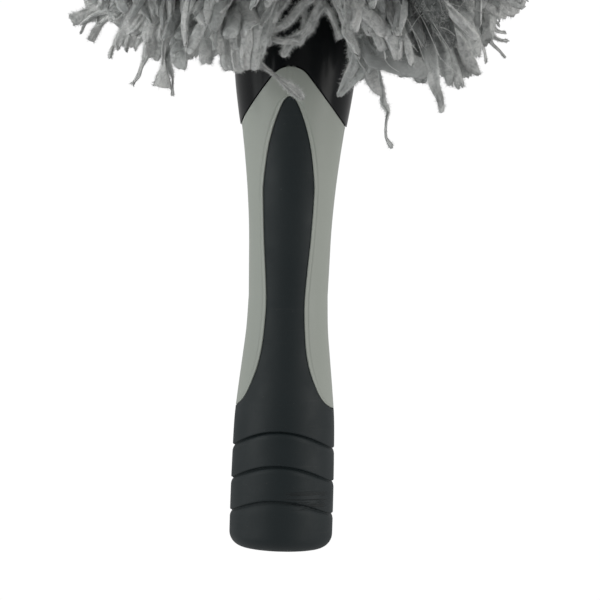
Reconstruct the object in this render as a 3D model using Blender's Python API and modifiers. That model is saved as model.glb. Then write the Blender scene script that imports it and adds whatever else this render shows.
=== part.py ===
"""Microfibre duster: a two-material grip, a bell-shaped collar and a pull-off head of fanned strips.

The duster stands on the flat end of its grip. The origin is the centre of that end, +Z runs up the
grip into the head, and the front petal of the grip faces -Y.
"""

import math
import random

import bmesh
import bpy
from mathutils import Vector

mm = 0.001

# Clearances and cutting
fit_gap = 0.3 * mm
collar_seam = 0.45 * mm
overrun = 12.0 * mm
turn_steps = 40
small_turn_steps = 24
shown_rings = 12
collar_rings = 9
sharp_angle = math.radians(32)

# Grip: outer shape
butt_radius = 18.5 * mm
butt_edge_radius = 5.3 * mm
butt_edge_steps = 4
waist_radius = 14.2 * mm
waist_height = 90.2 * mm
shoulder_radius = 18.4 * mm
shoulder_rise = 60.0 * mm
shoulder_height = waist_height + shoulder_rise
butt_swell_shares = [(0.0, 1.0), (0.2, 1.0), (0.36, 0.955), (0.51, 0.87), (0.625, 0.655), (0.75, 0.37),
                     (0.87, 0.115), (1.0, 0.0)]
shoulder_swell_shares = [(0.0, 0.0), (0.15, 0.055), (0.4, 0.155), (0.63, 0.385), (0.82, 0.67), (1.0, 1.0)]

# Grip: walls of the rigid body and of the soft skin over it
skin_depth = 2.0 * mm
bed_ring_spacing = 18.0 * mm
body_wall = 2.2 * mm
body_overlap = 1.0 * mm
grip_floor = 3.0 * mm
inner_corner_height = 8.0 * mm
petal_recess = 0.5 * mm
recess_start_rise = 3.0 * mm
recess_full_rise = 13.0 * mm

# Arch where the grey body meets the collar, seen from the front
arch_rise = 19.5 * mm
arch_tip_height = shoulder_height + arch_rise
arch_tip_radius = 8.0 * mm
arch_flank_angle = math.radians(51.3)
arch_tip_steps = 6

# Grip: outline of the front and rear petals, seen from the front
petal_half_width = 9.0 * mm
petal_foot_share = 0.5565
petal_foot_height = waist_height * petal_foot_share
petal_tip_drop = 10.3 * mm
petal_tip_height = arch_tip_height - petal_tip_drop
petal_outline_shares = [(1.93, 0.0), (1.61, 0.024), (1.355, 0.059), (1.055, 0.125), (0.88, 0.19), (0.79, 0.266),
                        (0.755, 0.34), (0.8, 0.417), (0.918, 0.544), (1.0, 0.678), (0.99, 0.737), (0.855, 0.83),
                        (0.655, 0.9), (0.44, 0.95), (0.23, 0.986), (0.0, 1.0)]

# Grip: three arched grooves round the butt
groove_half_width = 1.3 * mm
groove_depth = 1.0 * mm
groove_height_shares = [0.249, 0.48, 0.715]
groove_rises = [5.4 * mm, 6.0 * mm, 6.4 * mm]
groove_side_heights = [petal_foot_height * share for share in groove_height_shares]

# Plug that closes the lower end of the rigid body
butt_plug_spigot = 6.0 * mm

# Collar
collar_step = 0.5 * mm
collar_flare = 4.4 * mm
collar_rim_radius = shoulder_radius + collar_flare
collar_height = 47.0 * mm
collar_rim_height = shoulder_height + collar_height
collar_wall = 2.2 * mm
collar_cup_depth = 21.0 * mm
collar_floor_depth = 3.2 * mm
collar_floor_height = collar_rim_height - collar_cup_depth - collar_floor_depth
collar_lip_round = 0.8 * mm
collar_swell_shares = [(0.0, 0.0), (0.13, 0.27), (0.35, 0.64), (0.6, 0.87), (1.0, 1.0)]

# Socket tube of the collar and its two locating lands
land_reach = 2.7 * mm
socket_wall = 2.6 * mm
socket_radius = shoulder_radius - skin_depth - fit_gap - body_wall - land_reach - socket_wall
socket_depth = 30.3 * mm
socket_bottom_height = collar_floor_height - socket_depth
socket_floor = 2.0 * mm
land_depth = 3.0 * mm
lower_land_rise = 2.5 * mm
lower_land_height = socket_bottom_height + lower_land_rise
upper_land_drop = 9.8 * mm
upper_land_height = collar_floor_height - upper_land_drop
key_width = 2.4 * mm
key_rise = 1.2 * mm
key_length = 19.0 * mm
key_bottom_height = collar_floor_height + collar_floor_depth - key_length

# Stem and its plug
plug_clearance = 0.6 * mm
plug_radius = socket_radius - plug_clearance
plug_wall = 2.0 * mm
stem_radius = plug_radius - plug_wall
stem_bottom_rise = 12.5 * mm
stem_bottom_height = socket_bottom_height + stem_bottom_rise
ring_rise = 6.7 * mm
ring_height = socket_bottom_height + ring_rise
ring_section_radius = 1.1 * mm
ring_section_steps = 8
pin_radius = 1.5 * mm
pin_drop = 6.8 * mm
pin_height = collar_floor_height - pin_drop
pin_end_inset = 0.5 * mm

# Base flange of the head
flange_depth = 3.4 * mm
flange_edge = 0.8 * mm

# Bands of microfibre strips wound round the stem
band_count = 8
band_pitch = 30.0 * mm
band_clearance = 2.3 * mm
band_base_height = collar_rim_height + band_clearance
band_wall = 3.0 * mm
band_radius = stem_radius + band_wall
band_columns = 20
strip_root_depth = 4.0 * mm
second_row_offset = 15.5 * mm

# Microfibre strips
strip_length = 80.0 * mm
plume_radius = 88.0 * mm
strip_stations_shares = [0.3, 0.65, 1.0]
strip_widths = [4.8 * mm, 9.0 * mm, 12.0 * mm]
strip_room_share = 0.56
strip_thicknesses = [1.5 * mm, 1.2 * mm, 0.0]
row_shape_shares = [  # row, reach, rise of the tip, bend position, bend rise
    (0.0, 0.52, -0.48, 0.6, 0.2),
    (1 / 15, 0.69, -0.6, 0.58, 0.19),
    (2 / 15, 0.85, -0.59, 0.58, 0.18),
    (3 / 15, 0.94, -0.55, 0.56, 0.17),
    (5 / 15, 1.0, -0.46, 0.55, 0.17),
    (9 / 15, 1.0, -0.36, 0.55, 0.2),
    (11 / 15, 0.97, -0.14, 0.53, 0.25),
    (13 / 15, 0.84, 0.13, 0.48, 0.34),
    (14 / 15, 0.69, 0.33, 0.44, 0.44),
    (1.0, 0.46, 0.44, 0.36, 0.56),
]
strip_lean = math.radians(7)
strip_twist = math.radians(16)
length_spread_share = 0.07
lean_spread = math.radians(2.5)
strip_seed = 7

# Cap and screw on the top of the stem
stem_past_bands = 3.0 * mm
cap_lip = 0.6 * mm
cap_radius = band_radius + cap_lip
cap_side_depth = 5.5 * mm
cap_depth = 10.0 * mm
cap_round_steps = 4
screw_radius = 1.2 * mm
screw_length = 12.0 * mm
screw_head_radius = 3.2 * mm
screw_head_depth = 2.2 * mm
screw_seat_depth = 3.0 * mm


def smooth_through(stations, place):
    """Value at a place on a smooth curve through (place, value) stations."""
    if place <= stations[0][0]:
        return stations[0][1]
    if place >= stations[-1][0]:
        return stations[-1][1]
    slopes = []
    for i in range(len(stations)):
        before = stations[max(i - 1, 0)]
        after = stations[min(i + 1, len(stations) - 1)]
        slopes.append((after[1] - before[1]) / (after[0] - before[0]))
    i = max(k for k in range(len(stations) - 1) if stations[k][0] <= place)
    step = stations[i + 1][0] - stations[i][0]
    t = (place - stations[i][0]) / step
    start = (1 + 2 * t) * (1 - t) ** 2 * stations[i][1] + t * (1 - t) ** 2 * step * slopes[i]
    end = t * t * (3 - 2 * t) * stations[i + 1][1] + t * t * (t - 1) * step * slopes[i + 1]
    return start + end


def straight_through(stations, place, column):
    """Value of one column at a place between rows that start with their place."""
    for low, high in zip(stations, stations[1:]):
        if place <= high[0]:
            t = (place - low[0]) / (high[0] - low[0])
            return low[column] + t * (high[column] - low[column])
    return stations[-1][column]


def collar_radius_at(height):
    """Outer radius of the bell-shaped collar."""
    foot = shoulder_radius + collar_step
    share = (height - shoulder_height) / (collar_rim_height - shoulder_height)
    return foot + (collar_rim_radius - foot) * smooth_through(collar_swell_shares, share)


def grip_radius_at(height):
    """Outer radius of the grey body, up to the arch under the collar."""
    if height > shoulder_height:
        return collar_radius_at(height) - collar_step
    if height > waist_height:
        share = (height - waist_height) / (shoulder_height - waist_height)
        return waist_radius + (shoulder_radius - waist_radius) * smooth_through(shoulder_swell_shares, share)
    share = height / waist_height
    return waist_radius + (butt_radius - waist_radius) * smooth_through(butt_swell_shares, share)


def skin_inside_at(height):
    """Radius of the inside of the soft skin and the collar, straight between evenly spaced rings."""
    ring = math.floor(height / bed_ring_spacing)
    low = grip_radius_at(ring * bed_ring_spacing)
    high = grip_radius_at((ring + 1) * bed_ring_spacing)
    return low + (high - low) * (height / bed_ring_spacing - ring) - skin_depth


def body_outside_at(height):
    """Radius of the rigid body where the skin or the collar covers it."""
    return skin_inside_at(height) - fit_gap


def body_inside_at(height):
    """Radius of the hollow in the rigid body."""
    return body_outside_at(height) - body_wall


def bed_heights(low, high):
    """Heights of the hidden rings between two ends, from high to low."""
    first = math.floor(low / bed_ring_spacing) + 1
    last = math.ceil(high / bed_ring_spacing) - 1
    return [high] + [ring * bed_ring_spacing for ring in range(last, first - 1, -1)] + [low]


def heights_between(low, high, count):
    """Evenly spaced heights, from high to low."""
    return [high + (low - high) * i / count for i in range(count + 1)]


def make_material(name, color, roughness, metallic=0.0):
    """A Principled material."""
    material = bpy.data.materials.new(name)
    material.use_nodes = True
    shader = material.node_tree.nodes["Principled BSDF"]
    shader.inputs["Base Color"].default_value = (*color, 1.0)
    shader.inputs["Roughness"].default_value = roughness
    shader.inputs["Metallic"].default_value = metallic
    material.diffuse_color = (*color, 1.0)
    return material


def add_object(name, mesh, collection):
    """A new object that holds a mesh."""
    obj = bpy.data.objects.new(name, mesh)
    collection.objects.link(obj)
    return obj


def keep_as_cutter(obj):
    """Show a helper object as a wire that doesn't render."""
    obj.hide_render = True
    obj.display_type = "WIRE"
    return obj


def bake(obj):
    """Replace an object's mesh by its evaluated shape and shade it smooth between sharp edges."""
    bpy.context.view_layer.update()
    depsgraph = bpy.context.evaluated_depsgraph_get()
    mesh = bpy.data.meshes.new_from_object(obj.evaluated_get(depsgraph))
    obj.modifiers.clear()
    obj.data = mesh
    mesh.shade_smooth()
    mesh.set_sharp_from_angle(angle=sharp_angle)
    return obj


def turned(name, profile, collection, steps=turn_steps, closed=False):
    """A turned solid from a profile of (radius, height) that runs down its outer side."""
    mesh = bpy.data.meshes.new(name)
    edges = [(i, i + 1) for i in range(len(profile) - 1)]
    if closed:
        edges.append((len(profile) - 1, 0))
    mesh.from_pydata([(radius, 0.0, height) for radius, height in profile], edges, [])
    obj = add_object(name, mesh, collection)
    screw = obj.modifiers.new("Turn", "SCREW")
    screw.axis = "Z"
    screw.angle = math.tau
    screw.steps = steps
    screw.render_steps = steps
    screw.use_merge_vertices = True
    screw.merge_threshold = 0.00001
    return bake(obj)


def prism(name, outline, half_depth, collection):
    """A closed solid of a front-view outline of (x, z), as deep as twice half_depth along Y."""
    curve = bpy.data.curves.new(name, "CURVE")
    curve.dimensions = "2D"
    curve.fill_mode = "BOTH"
    curve.extrude = half_depth
    spline = curve.splines.new("POLY")
    spline.points.add(len(outline) - 1)
    for point, (x, z) in zip(spline.points, outline):
        point.co = (x, z, 0.0, 1.0)
    spline.use_cyclic_u = True
    flat = bpy.data.objects.new(name + "_curve", curve)
    collection.objects.link(flat)
    flat.rotation_euler = (math.pi / 2, 0.0, 0.0)
    bpy.context.view_layer.update()
    depsgraph = bpy.context.evaluated_depsgraph_get()
    mesh = bpy.data.meshes.new_from_object(flat.evaluated_get(depsgraph))
    shape = bmesh.new()
    shape.from_mesh(mesh)
    bmesh.ops.remove_doubles(shape, verts=shape.verts, dist=0.00001)
    bmesh.ops.recalc_face_normals(shape, faces=shape.faces)
    shape.to_mesh(mesh)
    shape.free()
    obj = add_object(name, mesh, collection)
    obj.matrix_world = flat.matrix_world.copy()
    bpy.data.objects.remove(flat)
    return keep_as_cutter(obj)


def box(name, size, centre, collection):
    """A box from its full size and centre."""
    mesh = bpy.data.meshes.new(name)
    shape = bmesh.new()
    bmesh.ops.create_cube(shape, size=1.0)
    bmesh.ops.scale(shape, vec=size, verts=shape.verts)
    shape.to_mesh(mesh)
    shape.free()
    obj = add_object(name, mesh, collection)
    obj.location = centre
    return keep_as_cutter(obj)


def cross_rod(name, radius, length, height, collection):
    """A round rod along X through the axis."""
    mesh = bpy.data.meshes.new(name)
    shape = bmesh.new()
    bmesh.ops.create_cone(shape, cap_ends=True, segments=small_turn_steps, radius1=radius, radius2=radius,
                          depth=length)
    shape.to_mesh(mesh)
    shape.free()
    mesh.shade_smooth()
    mesh.set_sharp_from_angle(angle=sharp_angle)
    obj = add_object(name, mesh, collection)
    obj.rotation_euler = (0.0, math.pi / 2, 0.0)
    obj.location = (0.0, 0.0, height)
    return obj


def combine(obj, tool, operation):
    """Cut, join or trim an object with another."""
    modifier = obj.modifiers.new(tool.name, "BOOLEAN")
    modifier.operation = operation
    modifier.solver = "EXACT"
    modifier.object = tool


def moved_outline(points, distance):
    """An open outline moved by a distance to the right of its direction."""
    moved = []
    for i, (x, z) in enumerate(points):
        before = points[max(i - 1, 0)]
        after = points[min(i + 1, len(points) - 1)]
        along = Vector((after[0] - before[0], after[1] - before[1])).normalized()
        moved.append((x + along.y * distance, z - along.x * distance))
    return moved


def petal_outline(distance):
    """Outline of the soft skin: over the petal from right to left, then round below the grip."""
    span = petal_tip_height - petal_foot_height
    right = [(petal_half_width * width, petal_foot_height + span * height)
             for width, height in petal_outline_shares]
    reach = butt_radius + overrun
    right.insert(0, (reach, petal_foot_height))
    chain = right + [(-x, z) for x, z in reversed(right[:-1])]
    return moved_outline(chain, distance) + [(-reach, -overrun), (reach, -overrun)]


def arch_outline(distance):
    """Outline of all that lies under the collar's arch, from right to left over its tip."""
    centre = arch_tip_height - arch_tip_radius
    turn = math.pi / 2 - arch_flank_angle
    right = []
    for i in range(arch_tip_steps + 1):
        angle = turn + (math.pi / 2 - turn) * i / arch_tip_steps
        right.append((arch_tip_radius * math.cos(angle), centre + arch_tip_radius * math.sin(angle)))
    reach = collar_rim_radius + overrun
    foot = right[0][1] - (reach - right[0][0]) * math.tan(arch_flank_angle)
    right.insert(0, (reach, foot))
    chain = right + [(-x, z) for x, z in reversed(right[:-1])]
    return moved_outline(chain, distance) + [(-reach, -overrun), (reach, -overrun)]


def butt_edge_profile():
    """Rounded edge between the side of the butt and its flat end, from the side downwards."""
    points = []
    for i in range(butt_edge_steps + 1):
        angle = math.pi / 2 * i / butt_edge_steps
        radius = butt_radius - butt_edge_radius * (1 - math.cos(angle))
        points.append((radius, butt_edge_radius * (1 - math.sin(angle))))
    return points


def soft_radius_at(height):
    """Outer radius of the soft skin, which dips a little below the grey body in the petals."""
    share = (height - petal_foot_height - recess_start_rise) / (recess_full_rise - recess_start_rise)
    return grip_radius_at(height) - petal_recess * min(max(share, 0.0), 1.0)


def groove_rise_at(height):
    """How far the arched grooves lift the skin's surface at the front and the back."""
    stations = [(0.0, 0.0), (butt_edge_radius, 0.0)]
    stations += list(zip(groove_side_heights, groove_rises))
    stations += [(petal_foot_height + butt_edge_radius, 0.0)]
    return straight_through(stations, height, 1)


def lift_grooves(mesh):
    """Bend the turned grooves into arches that rise at the front and the back."""
    for vertex in mesh.vertices:
        x, y, height = vertex.co
        radius = math.hypot(x, y)
        on_surface = radius > soft_radius_at(height) - skin_depth * 0.75
        if height > butt_edge_radius and on_surface:
            front_share = (y / radius) ** 2
            new_height = height + groove_rise_at(height) * front_share
            new_radius = radius + soft_radius_at(new_height) - soft_radius_at(height)
            vertex.co = (x * new_radius / radius, y * new_radius / radius, new_height)


def grooved_side_profile():
    """Outer side of the soft skin from its top down to the rounded edge, with three V grooves."""
    top = petal_tip_height + overrun / 2
    heights = heights_between(groove_side_heights[-1] + 3 * groove_half_width, top, shown_rings)
    profile = [(soft_radius_at(height), height) for height in heights]
    for height in reversed(groove_side_heights):
        radius = soft_radius_at(height)
        profile.append((radius, height + groove_half_width))
        profile.append((radius - groove_depth, height))
        profile.append((radius, height - groove_half_width))
    return profile


def make_handle_body(parts, cutters):
    """Rigid grey tube: thin where the skin and the collar cover it, full where it shows."""
    low = inner_corner_height + fit_gap
    top = collar_floor_height - fit_gap
    heights = bed_heights(low, top)
    outer = [(body_outside_at(height), height) for height in heights]
    inner = [(body_inside_at(height), height) for height in reversed(heights)]
    body = turned("handle_body", outer + inner, parts, closed=True)

    low = petal_foot_height - 5 * fit_gap
    top = arch_tip_height + 5 * fit_gap
    outer = [(grip_radius_at(height), height) for height in heights_between(low, top, shown_rings)]
    inner = [(body_outside_at(height) - body_overlap, height)
             for height in reversed(bed_heights(low, top))]
    shown = keep_as_cutter(turned("shown_wall", outer + inner, cutters, closed=True))
    combine(shown, prism("under_arch", arch_outline(0.0), collar_rim_radius + overrun, cutters), "INTERSECT")
    combine(shown, prism("skin_bed", petal_outline(fit_gap), butt_radius + overrun, cutters), "DIFFERENCE")
    combine(body, shown, "UNION")
    return body


def make_soft_grip(parts, cutters):
    """Soft skin moulded over the butt, with a petal up the front and one up the back."""
    top = petal_tip_height + overrun / 2
    heights = bed_heights(inner_corner_height, top)
    inner = [(skin_inside_at(height), height) for height in reversed(heights)]
    corner = butt_radius - butt_edge_radius
    profile = grooved_side_profile() + butt_edge_profile() + [(0.0, 0.0)]
    skin = turned("soft_grip", [(0.0, grip_floor), (corner, grip_floor)] + inner + profile, parts)
    lift_grooves(skin.data)
    combine(skin, prism("skin_outline", petal_outline(0.0), butt_radius + overrun, cutters), "INTERSECT")
    return skin


def make_butt_plug(parts):
    """Plug that closes the lower end of the rigid tube, under the soft skin."""
    shoulder = inner_corner_height
    spigot = body_inside_at(shoulder) - fit_gap
    flange = skin_inside_at(shoulder) - fit_gap
    base = grip_floor + fit_gap
    profile = [
        (0.0, shoulder + butt_plug_spigot),
        (spigot, shoulder + butt_plug_spigot),
        (spigot, shoulder),
        (flange, shoulder),
        (butt_radius - butt_edge_radius - fit_gap, base),
        (0.0, base),
    ]
    return turned("butt_plug", profile, parts, steps=small_turn_steps)


def make_collar(parts, cutters):
    """Glossy bell collar: arched skirt, cup for the head's flange and keyed socket tube."""
    cup_floor = collar_floor_height + collar_floor_depth
    rim = collar_rim_height
    heights = heights_between(shoulder_height - overrun / 2, rim - collar_lip_round, collar_rings)
    outer = [(collar_radius_at(height), height) for height in heights]
    lip = [(collar_rim_radius - collar_wall + collar_lip_round, rim), (collar_rim_radius - collar_lip_round, rim)]
    skirt_heights = bed_heights(shoulder_height - overrun / 2, collar_floor_height)
    skirt = [(skin_inside_at(height), height) for height in reversed(skirt_heights)]
    cup_heights = heights_between(cup_floor, rim - collar_lip_round, collar_rings // 3)
    cup = [(collar_radius_at(height) - collar_wall, height) for height in reversed(cup_heights)]
    collar = turned("collar", lip + outer + skirt + cup, parts, closed=True)
    combine(collar, prism("collar_arch", arch_outline(collar_seam), collar_rim_radius + overrun, cutters),
            "DIFFERENCE")

    hub = socket_radius + socket_wall
    floor_edge = collar_radius_at(cup_floor) - collar_wall / 2
    lower_land = body_inside_at(lower_land_height) - fit_gap
    upper_land = body_inside_at(upper_land_height) - fit_gap
    profile = [
        (0.0, socket_bottom_height),
        (socket_radius, socket_bottom_height),
        (socket_radius, cup_floor),
        (floor_edge, cup_floor),
        (floor_edge, collar_floor_height),
        (hub, collar_floor_height),
        (hub, upper_land_height + land_depth),
        (upper_land, upper_land_height + land_depth),
        (upper_land, upper_land_height),
        (hub, upper_land_height),
        (hub, lower_land_height + land_depth),
        (lower_land, lower_land_height + land_depth),
        (lower_land, lower_land_height),
        (hub, lower_land_height),
        (hub, socket_bottom_height - socket_floor),
        (0.0, socket_bottom_height - socket_floor),
    ]
    socket = keep_as_cutter(turned("socket_tube", profile, cutters, steps=small_turn_steps))
    combine(collar, socket, "UNION")
    keyway_low = key_bottom_height - fit_gap
    keyway_high = cup_floor + overrun / 2
    size = (key_width + 2 * fit_gap, 2 * (plug_radius + key_rise + fit_gap), keyway_high - keyway_low)
    centre = (0.0, 0.0, (keyway_low + keyway_high) / 2)
    combine(collar, box("keyway", size, centre, cutters), "DIFFERENCE")
    return collar


def band_top_height():
    """Top of the last band of strips."""
    return band_base_height + band_count * band_pitch - fit_gap


def make_stem(parts, cutters):
    """Rigid rod through the whole head, with a pilot hole for the cap's screw."""
    top = band_top_height() + stem_past_bands
    pilot = screw_radius + fit_gap
    profile = [
        (0.0, top - screw_length - fit_gap),
        (pilot, top - screw_length - fit_gap),
        (pilot, top),
        (stem_radius, top),
        (stem_radius, stem_bottom_height),
        (0.0, stem_bottom_height),
    ]
    stem = turned("stem", profile, parts, steps=small_turn_steps)
    hole = keep_as_cutter(cross_rod("stem_pin_hole", pin_radius + fit_gap, 2 * plug_radius + overrun, pin_height,
                                    cutters))
    combine(stem, hole, "DIFFERENCE")
    return stem


def make_stem_plug(parts, cutters):
    """Keyed plug on the lower end of the stem, with a groove for its grip ring."""
    top = collar_floor_height + collar_floor_depth
    bottom = socket_bottom_height + fit_gap
    bore = stem_radius + fit_gap
    groove = plug_radius + fit_gap - 2 * ring_section_radius - fit_gap
    groove_half = ring_section_radius + fit_gap
    profile = [
        (0.0, stem_bottom_height - fit_gap),
        (bore, stem_bottom_height - fit_gap),
        (bore, top),
        (plug_radius, top),
        (plug_radius, ring_height + groove_half),
        (groove, ring_height + groove_half),
        (groove, ring_height - groove_half),
        (plug_radius, ring_height - groove_half),
        (plug_radius, bottom + pin_radius),
        (plug_radius - pin_radius, bottom),
        (0.0, bottom),
    ]
    plug = turned("stem_plug", profile, parts, steps=small_turn_steps)
    key_centre = stem_radius + fit_gap + (plug_radius + key_rise - stem_radius - fit_gap + fit_gap) / 2
    key_depth = 2 * (plug_radius + key_rise - key_centre)
    for side in (-1, 1):
        size = (key_width, key_depth, top - fit_gap - key_bottom_height)
        centre = (0.0, side * key_centre, (top - fit_gap + key_bottom_height) / 2)
        combine(plug, box("plug_key_front" if side < 0 else "plug_key_rear", size, centre, cutters), "UNION")
    combine(plug, bpy.data.objects["stem_pin_hole"], "DIFFERENCE")
    return plug


def make_plug_pin(parts):
    """Cross pin that holds the plug on the stem."""
    return cross_rod("plug_pin", pin_radius, 2 * (plug_radius - pin_end_inset), pin_height, parts)


def make_grip_ring(parts):
    """Rubber ring in the plug's groove, which grips the socket."""
    centre = plug_radius + fit_gap - ring_section_radius
    profile = []
    for i in range(ring_section_steps):
        angle = -math.tau * i / ring_section_steps
        profile.append((centre + ring_section_radius * math.cos(angle),
                        ring_height + ring_section_radius * math.sin(angle)))
    return turned("grip_ring", profile, parts, steps=small_turn_steps, closed=True)


def make_head_flange(parts):
    """Flange that sits in the collar's cup and carries the lowest band of strips."""
    base = collar_floor_height + collar_floor_depth + fit_gap
    bore = stem_radius + fit_gap
    reach = collar_radius_at(base) - collar_wall - fit_gap
    profile = [
        (bore, band_base_height - fit_gap),
        (band_radius, band_base_height - fit_gap),
        (band_radius, base + flange_depth),
        (reach - flange_edge, base + flange_depth),
        (reach, base + flange_depth - flange_edge),
        (reach, base + flange_edge),
        (reach - flange_edge, base),
        (bore, base),
    ]
    return turned("head_flange", profile, parts, steps=small_turn_steps, closed=True)


def strip_place(row_share, root_height, share, stretch):
    """Distance from the axis, height and slope of a strip at a share of its length."""
    reach, rise, bend, bend_rise = (straight_through(row_shape_shares, row_share, column)
                                    for column in range(1, 5))
    reach = band_radius + (reach * plume_radius - band_radius) * stretch
    root = Vector((band_radius, root_height))
    middle = Vector((band_radius + (reach - band_radius) * bend, root_height + bend_rise * strip_length))
    tip = Vector((reach, root_height + rise * strip_length * stretch))
    place = root * (1 - share) ** 2 + middle * 2 * share * (1 - share) + tip * share ** 2
    slope = (middle - root) * (1 - share) + (tip - middle) * share
    return place, slope.normalized()


def strip_corner(place, slope, azimuth, side, level, width, thickness, twist):
    """One corner of a strip's flat section."""
    outward = Vector((math.cos(azimuth), math.sin(azimuth), 0.0))
    across = Vector((-math.sin(azimuth), math.cos(azimuth), 0.0))
    up = Vector((0.0, 0.0, 1.0))
    normal = up * slope.x - outward * slope.y
    wide = across * math.cos(twist) + normal * math.sin(twist)
    deep = normal * math.cos(twist) - across * math.sin(twist)
    centre = outward * place.x + up * place.y
    return centre + wide * (side * width / 2) + deep * (level * thickness / 2)


def grow_strip(shape, root, row, row_count, rng):
    """Draw one strip out of a face of its band, station by station, no wider than its row has room for."""
    centre = root.calc_center_median()
    azimuth = math.atan2(centre.y, centre.x)
    across = Vector((-math.sin(azimuth), math.cos(azimuth), 0.0))
    corners = {vertex: (math.copysign(1, (vertex.co - centre).dot(across)),
                        math.copysign(1, vertex.co.z - centre.z)) for vertex in root.verts}
    stretch = 1 + rng.uniform(-length_spread_share, length_spread_share)
    lean = strip_lean * (1 if row % 2 else -1) + rng.uniform(-lean_spread, lean_spread)
    twist = rng.uniform(-strip_twist, strip_twist)
    face = root
    for share, width, thickness in zip(strip_stations_shares, strip_widths, strip_thicknesses):
        place, slope = strip_place(row / (row_count - 1), centre.z, share, stretch)
        room = math.tau * place.x / band_columns * strip_room_share
        grown = bmesh.ops.extrude_discrete_faces(shape, faces=[face])["faces"][0]
        new_corners = {}
        for vertex in grown.verts:
            near = min(corners, key=lambda old: (old.co - vertex.co).length)
            new_corners[vertex] = corners[near]
        for vertex, (side, level) in new_corners.items():
            vertex.co = strip_corner(place, slope, azimuth + lean * share ** 2, side, level, min(width, room),
                                     thickness, twist * share)
        corners = new_corners
        face = grown
    bmesh.ops.remove_doubles(shape, verts=list(face.verts), dist=0.00001)


def make_strip_band(index, parts):
    """A slice of the fabric backing round the stem, with two rows of strips drawn out of it."""
    base = band_base_height + index * band_pitch
    top = base + band_pitch - fit_gap
    bore = stem_radius + fit_gap
    row_lows = [base, base + second_row_offset]
    profile = [
        (bore, base),
        (bore, top),
        (band_radius, top),
        (band_radius, row_lows[1] + strip_root_depth),
        (band_radius, row_lows[1]),
        (band_radius, row_lows[0] + strip_root_depth),
        (band_radius, row_lows[0]),
    ]
    band = turned(f"strip_band_{index + 1}", profile, parts, steps=band_columns, closed=True)
    shape = bmesh.new()
    shape.from_mesh(band.data)
    rng = random.Random(strip_seed + index)
    mid_wall = (bore + band_radius) / 2
    for k, low in enumerate(row_lows):
        roots = []
        for face in shape.faces:
            centre = face.calc_center_median()
            if centre.xy.length > mid_wall and low < centre.z < low + strip_root_depth and len(face.verts) == 4:
                roots.append(face)
        for root in roots:
            grow_strip(shape, root, 2 * index + k, 2 * band_count, rng)
    bmesh.ops.recalc_face_normals(shape, faces=shape.faces)
    shape.to_mesh(band.data)
    shape.free()
    return band


def make_tip_cap(parts):
    """Domed cap that holds the last band on the stem."""
    base = band_top_height() + fit_gap
    top = base + cap_depth
    bore = stem_radius + fit_gap
    bore_top = band_top_height() + stem_past_bands + fit_gap
    hole = screw_radius + fit_gap
    seat = screw_head_radius + fit_gap
    dome = []
    for i in range(cap_round_steps + 1):
        angle = math.pi / 2 * i / cap_round_steps
        dome.append((seat + (cap_radius - seat) * math.sin(angle),
                     base + cap_side_depth + (cap_depth - cap_side_depth) * math.cos(angle)))
    profile = dome + [
        (cap_radius, base),
        (bore, base),
        (bore, bore_top),
        (hole, bore_top),
        (hole, top - screw_seat_depth),
        (seat, top - screw_seat_depth),
    ]
    return turned("tip_cap", profile, parts, steps=small_turn_steps, closed=True)


def make_tip_screw(parts):
    """Screw through the cap into the top of the stem."""
    seat = band_top_height() + cap_depth - screw_seat_depth + 2 * fit_gap
    end = band_top_height() + stem_past_bands - screw_length
    crown = seat + screw_head_depth
    profile = [
        (0.0, crown),
        (screw_head_radius - screw_radius, crown),
        (screw_head_radius, seat + screw_radius),
        (screw_head_radius, seat),
        (screw_radius, seat),
        (screw_radius, end + screw_radius),
        (0.0, end),
    ]
    return turned("tip_screw", profile, parts, steps=small_turn_steps)


def clear_scene():
    """Remove whatever the scene holds."""
    for obj in list(bpy.data.objects):
        bpy.data.objects.remove(obj)


def new_collection(name):
    """A new collection in the scene."""
    collection = bpy.data.collections.new(name)
    bpy.context.scene.collection.children.link(collection)
    return collection


def main():
    """Build every piece and give it its material."""
    clear_scene()
    parts = new_collection("microfibre_duster")
    cutters = new_collection("cutters")

    grey = make_material("grip_grey", (0.29, 0.31, 0.28), 0.45)
    soft_black = make_material("soft_black", (0.022, 0.025, 0.026), 0.7)
    gloss_black = make_material("gloss_black", (0.008, 0.009, 0.01), 0.18)
    inner_plastic = make_material("inner_plastic", (0.5, 0.5, 0.48), 0.5)
    rubber = make_material("ring_rubber", (0.015, 0.015, 0.015), 0.8)
    steel = make_material("steel", (0.6, 0.6, 0.6), 0.3, 1.0)
    microfibre = make_material("microfibre", (0.36, 0.38, 0.37), 0.95)

    pieces = [
        (make_handle_body(parts, cutters), grey),
        (make_soft_grip(parts, cutters), soft_black),
        (make_butt_plug(parts), inner_plastic),
        (make_collar(parts, cutters), gloss_black),
        (make_stem(parts, cutters), inner_plastic),
        (make_stem_plug(parts, cutters), gloss_black),
        (make_plug_pin(parts), steel),
        (make_grip_ring(parts), rubber),
        (make_head_flange(parts), inner_plastic),
        (make_tip_cap(parts), inner_plastic),
        (make_tip_screw(parts), steel),
    ]
    pieces += [(make_strip_band(index, parts), microfibre) for index in range(band_count)]
    for piece, material in pieces:
        piece.data.materials.clear()
        piece.data.materials.append(material)


main()
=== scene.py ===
"""Looks of the microfibre duster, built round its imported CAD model."""

import math

import bmesh
import bpy
import numpy as np
from mathutils import Matrix, Vector


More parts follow.
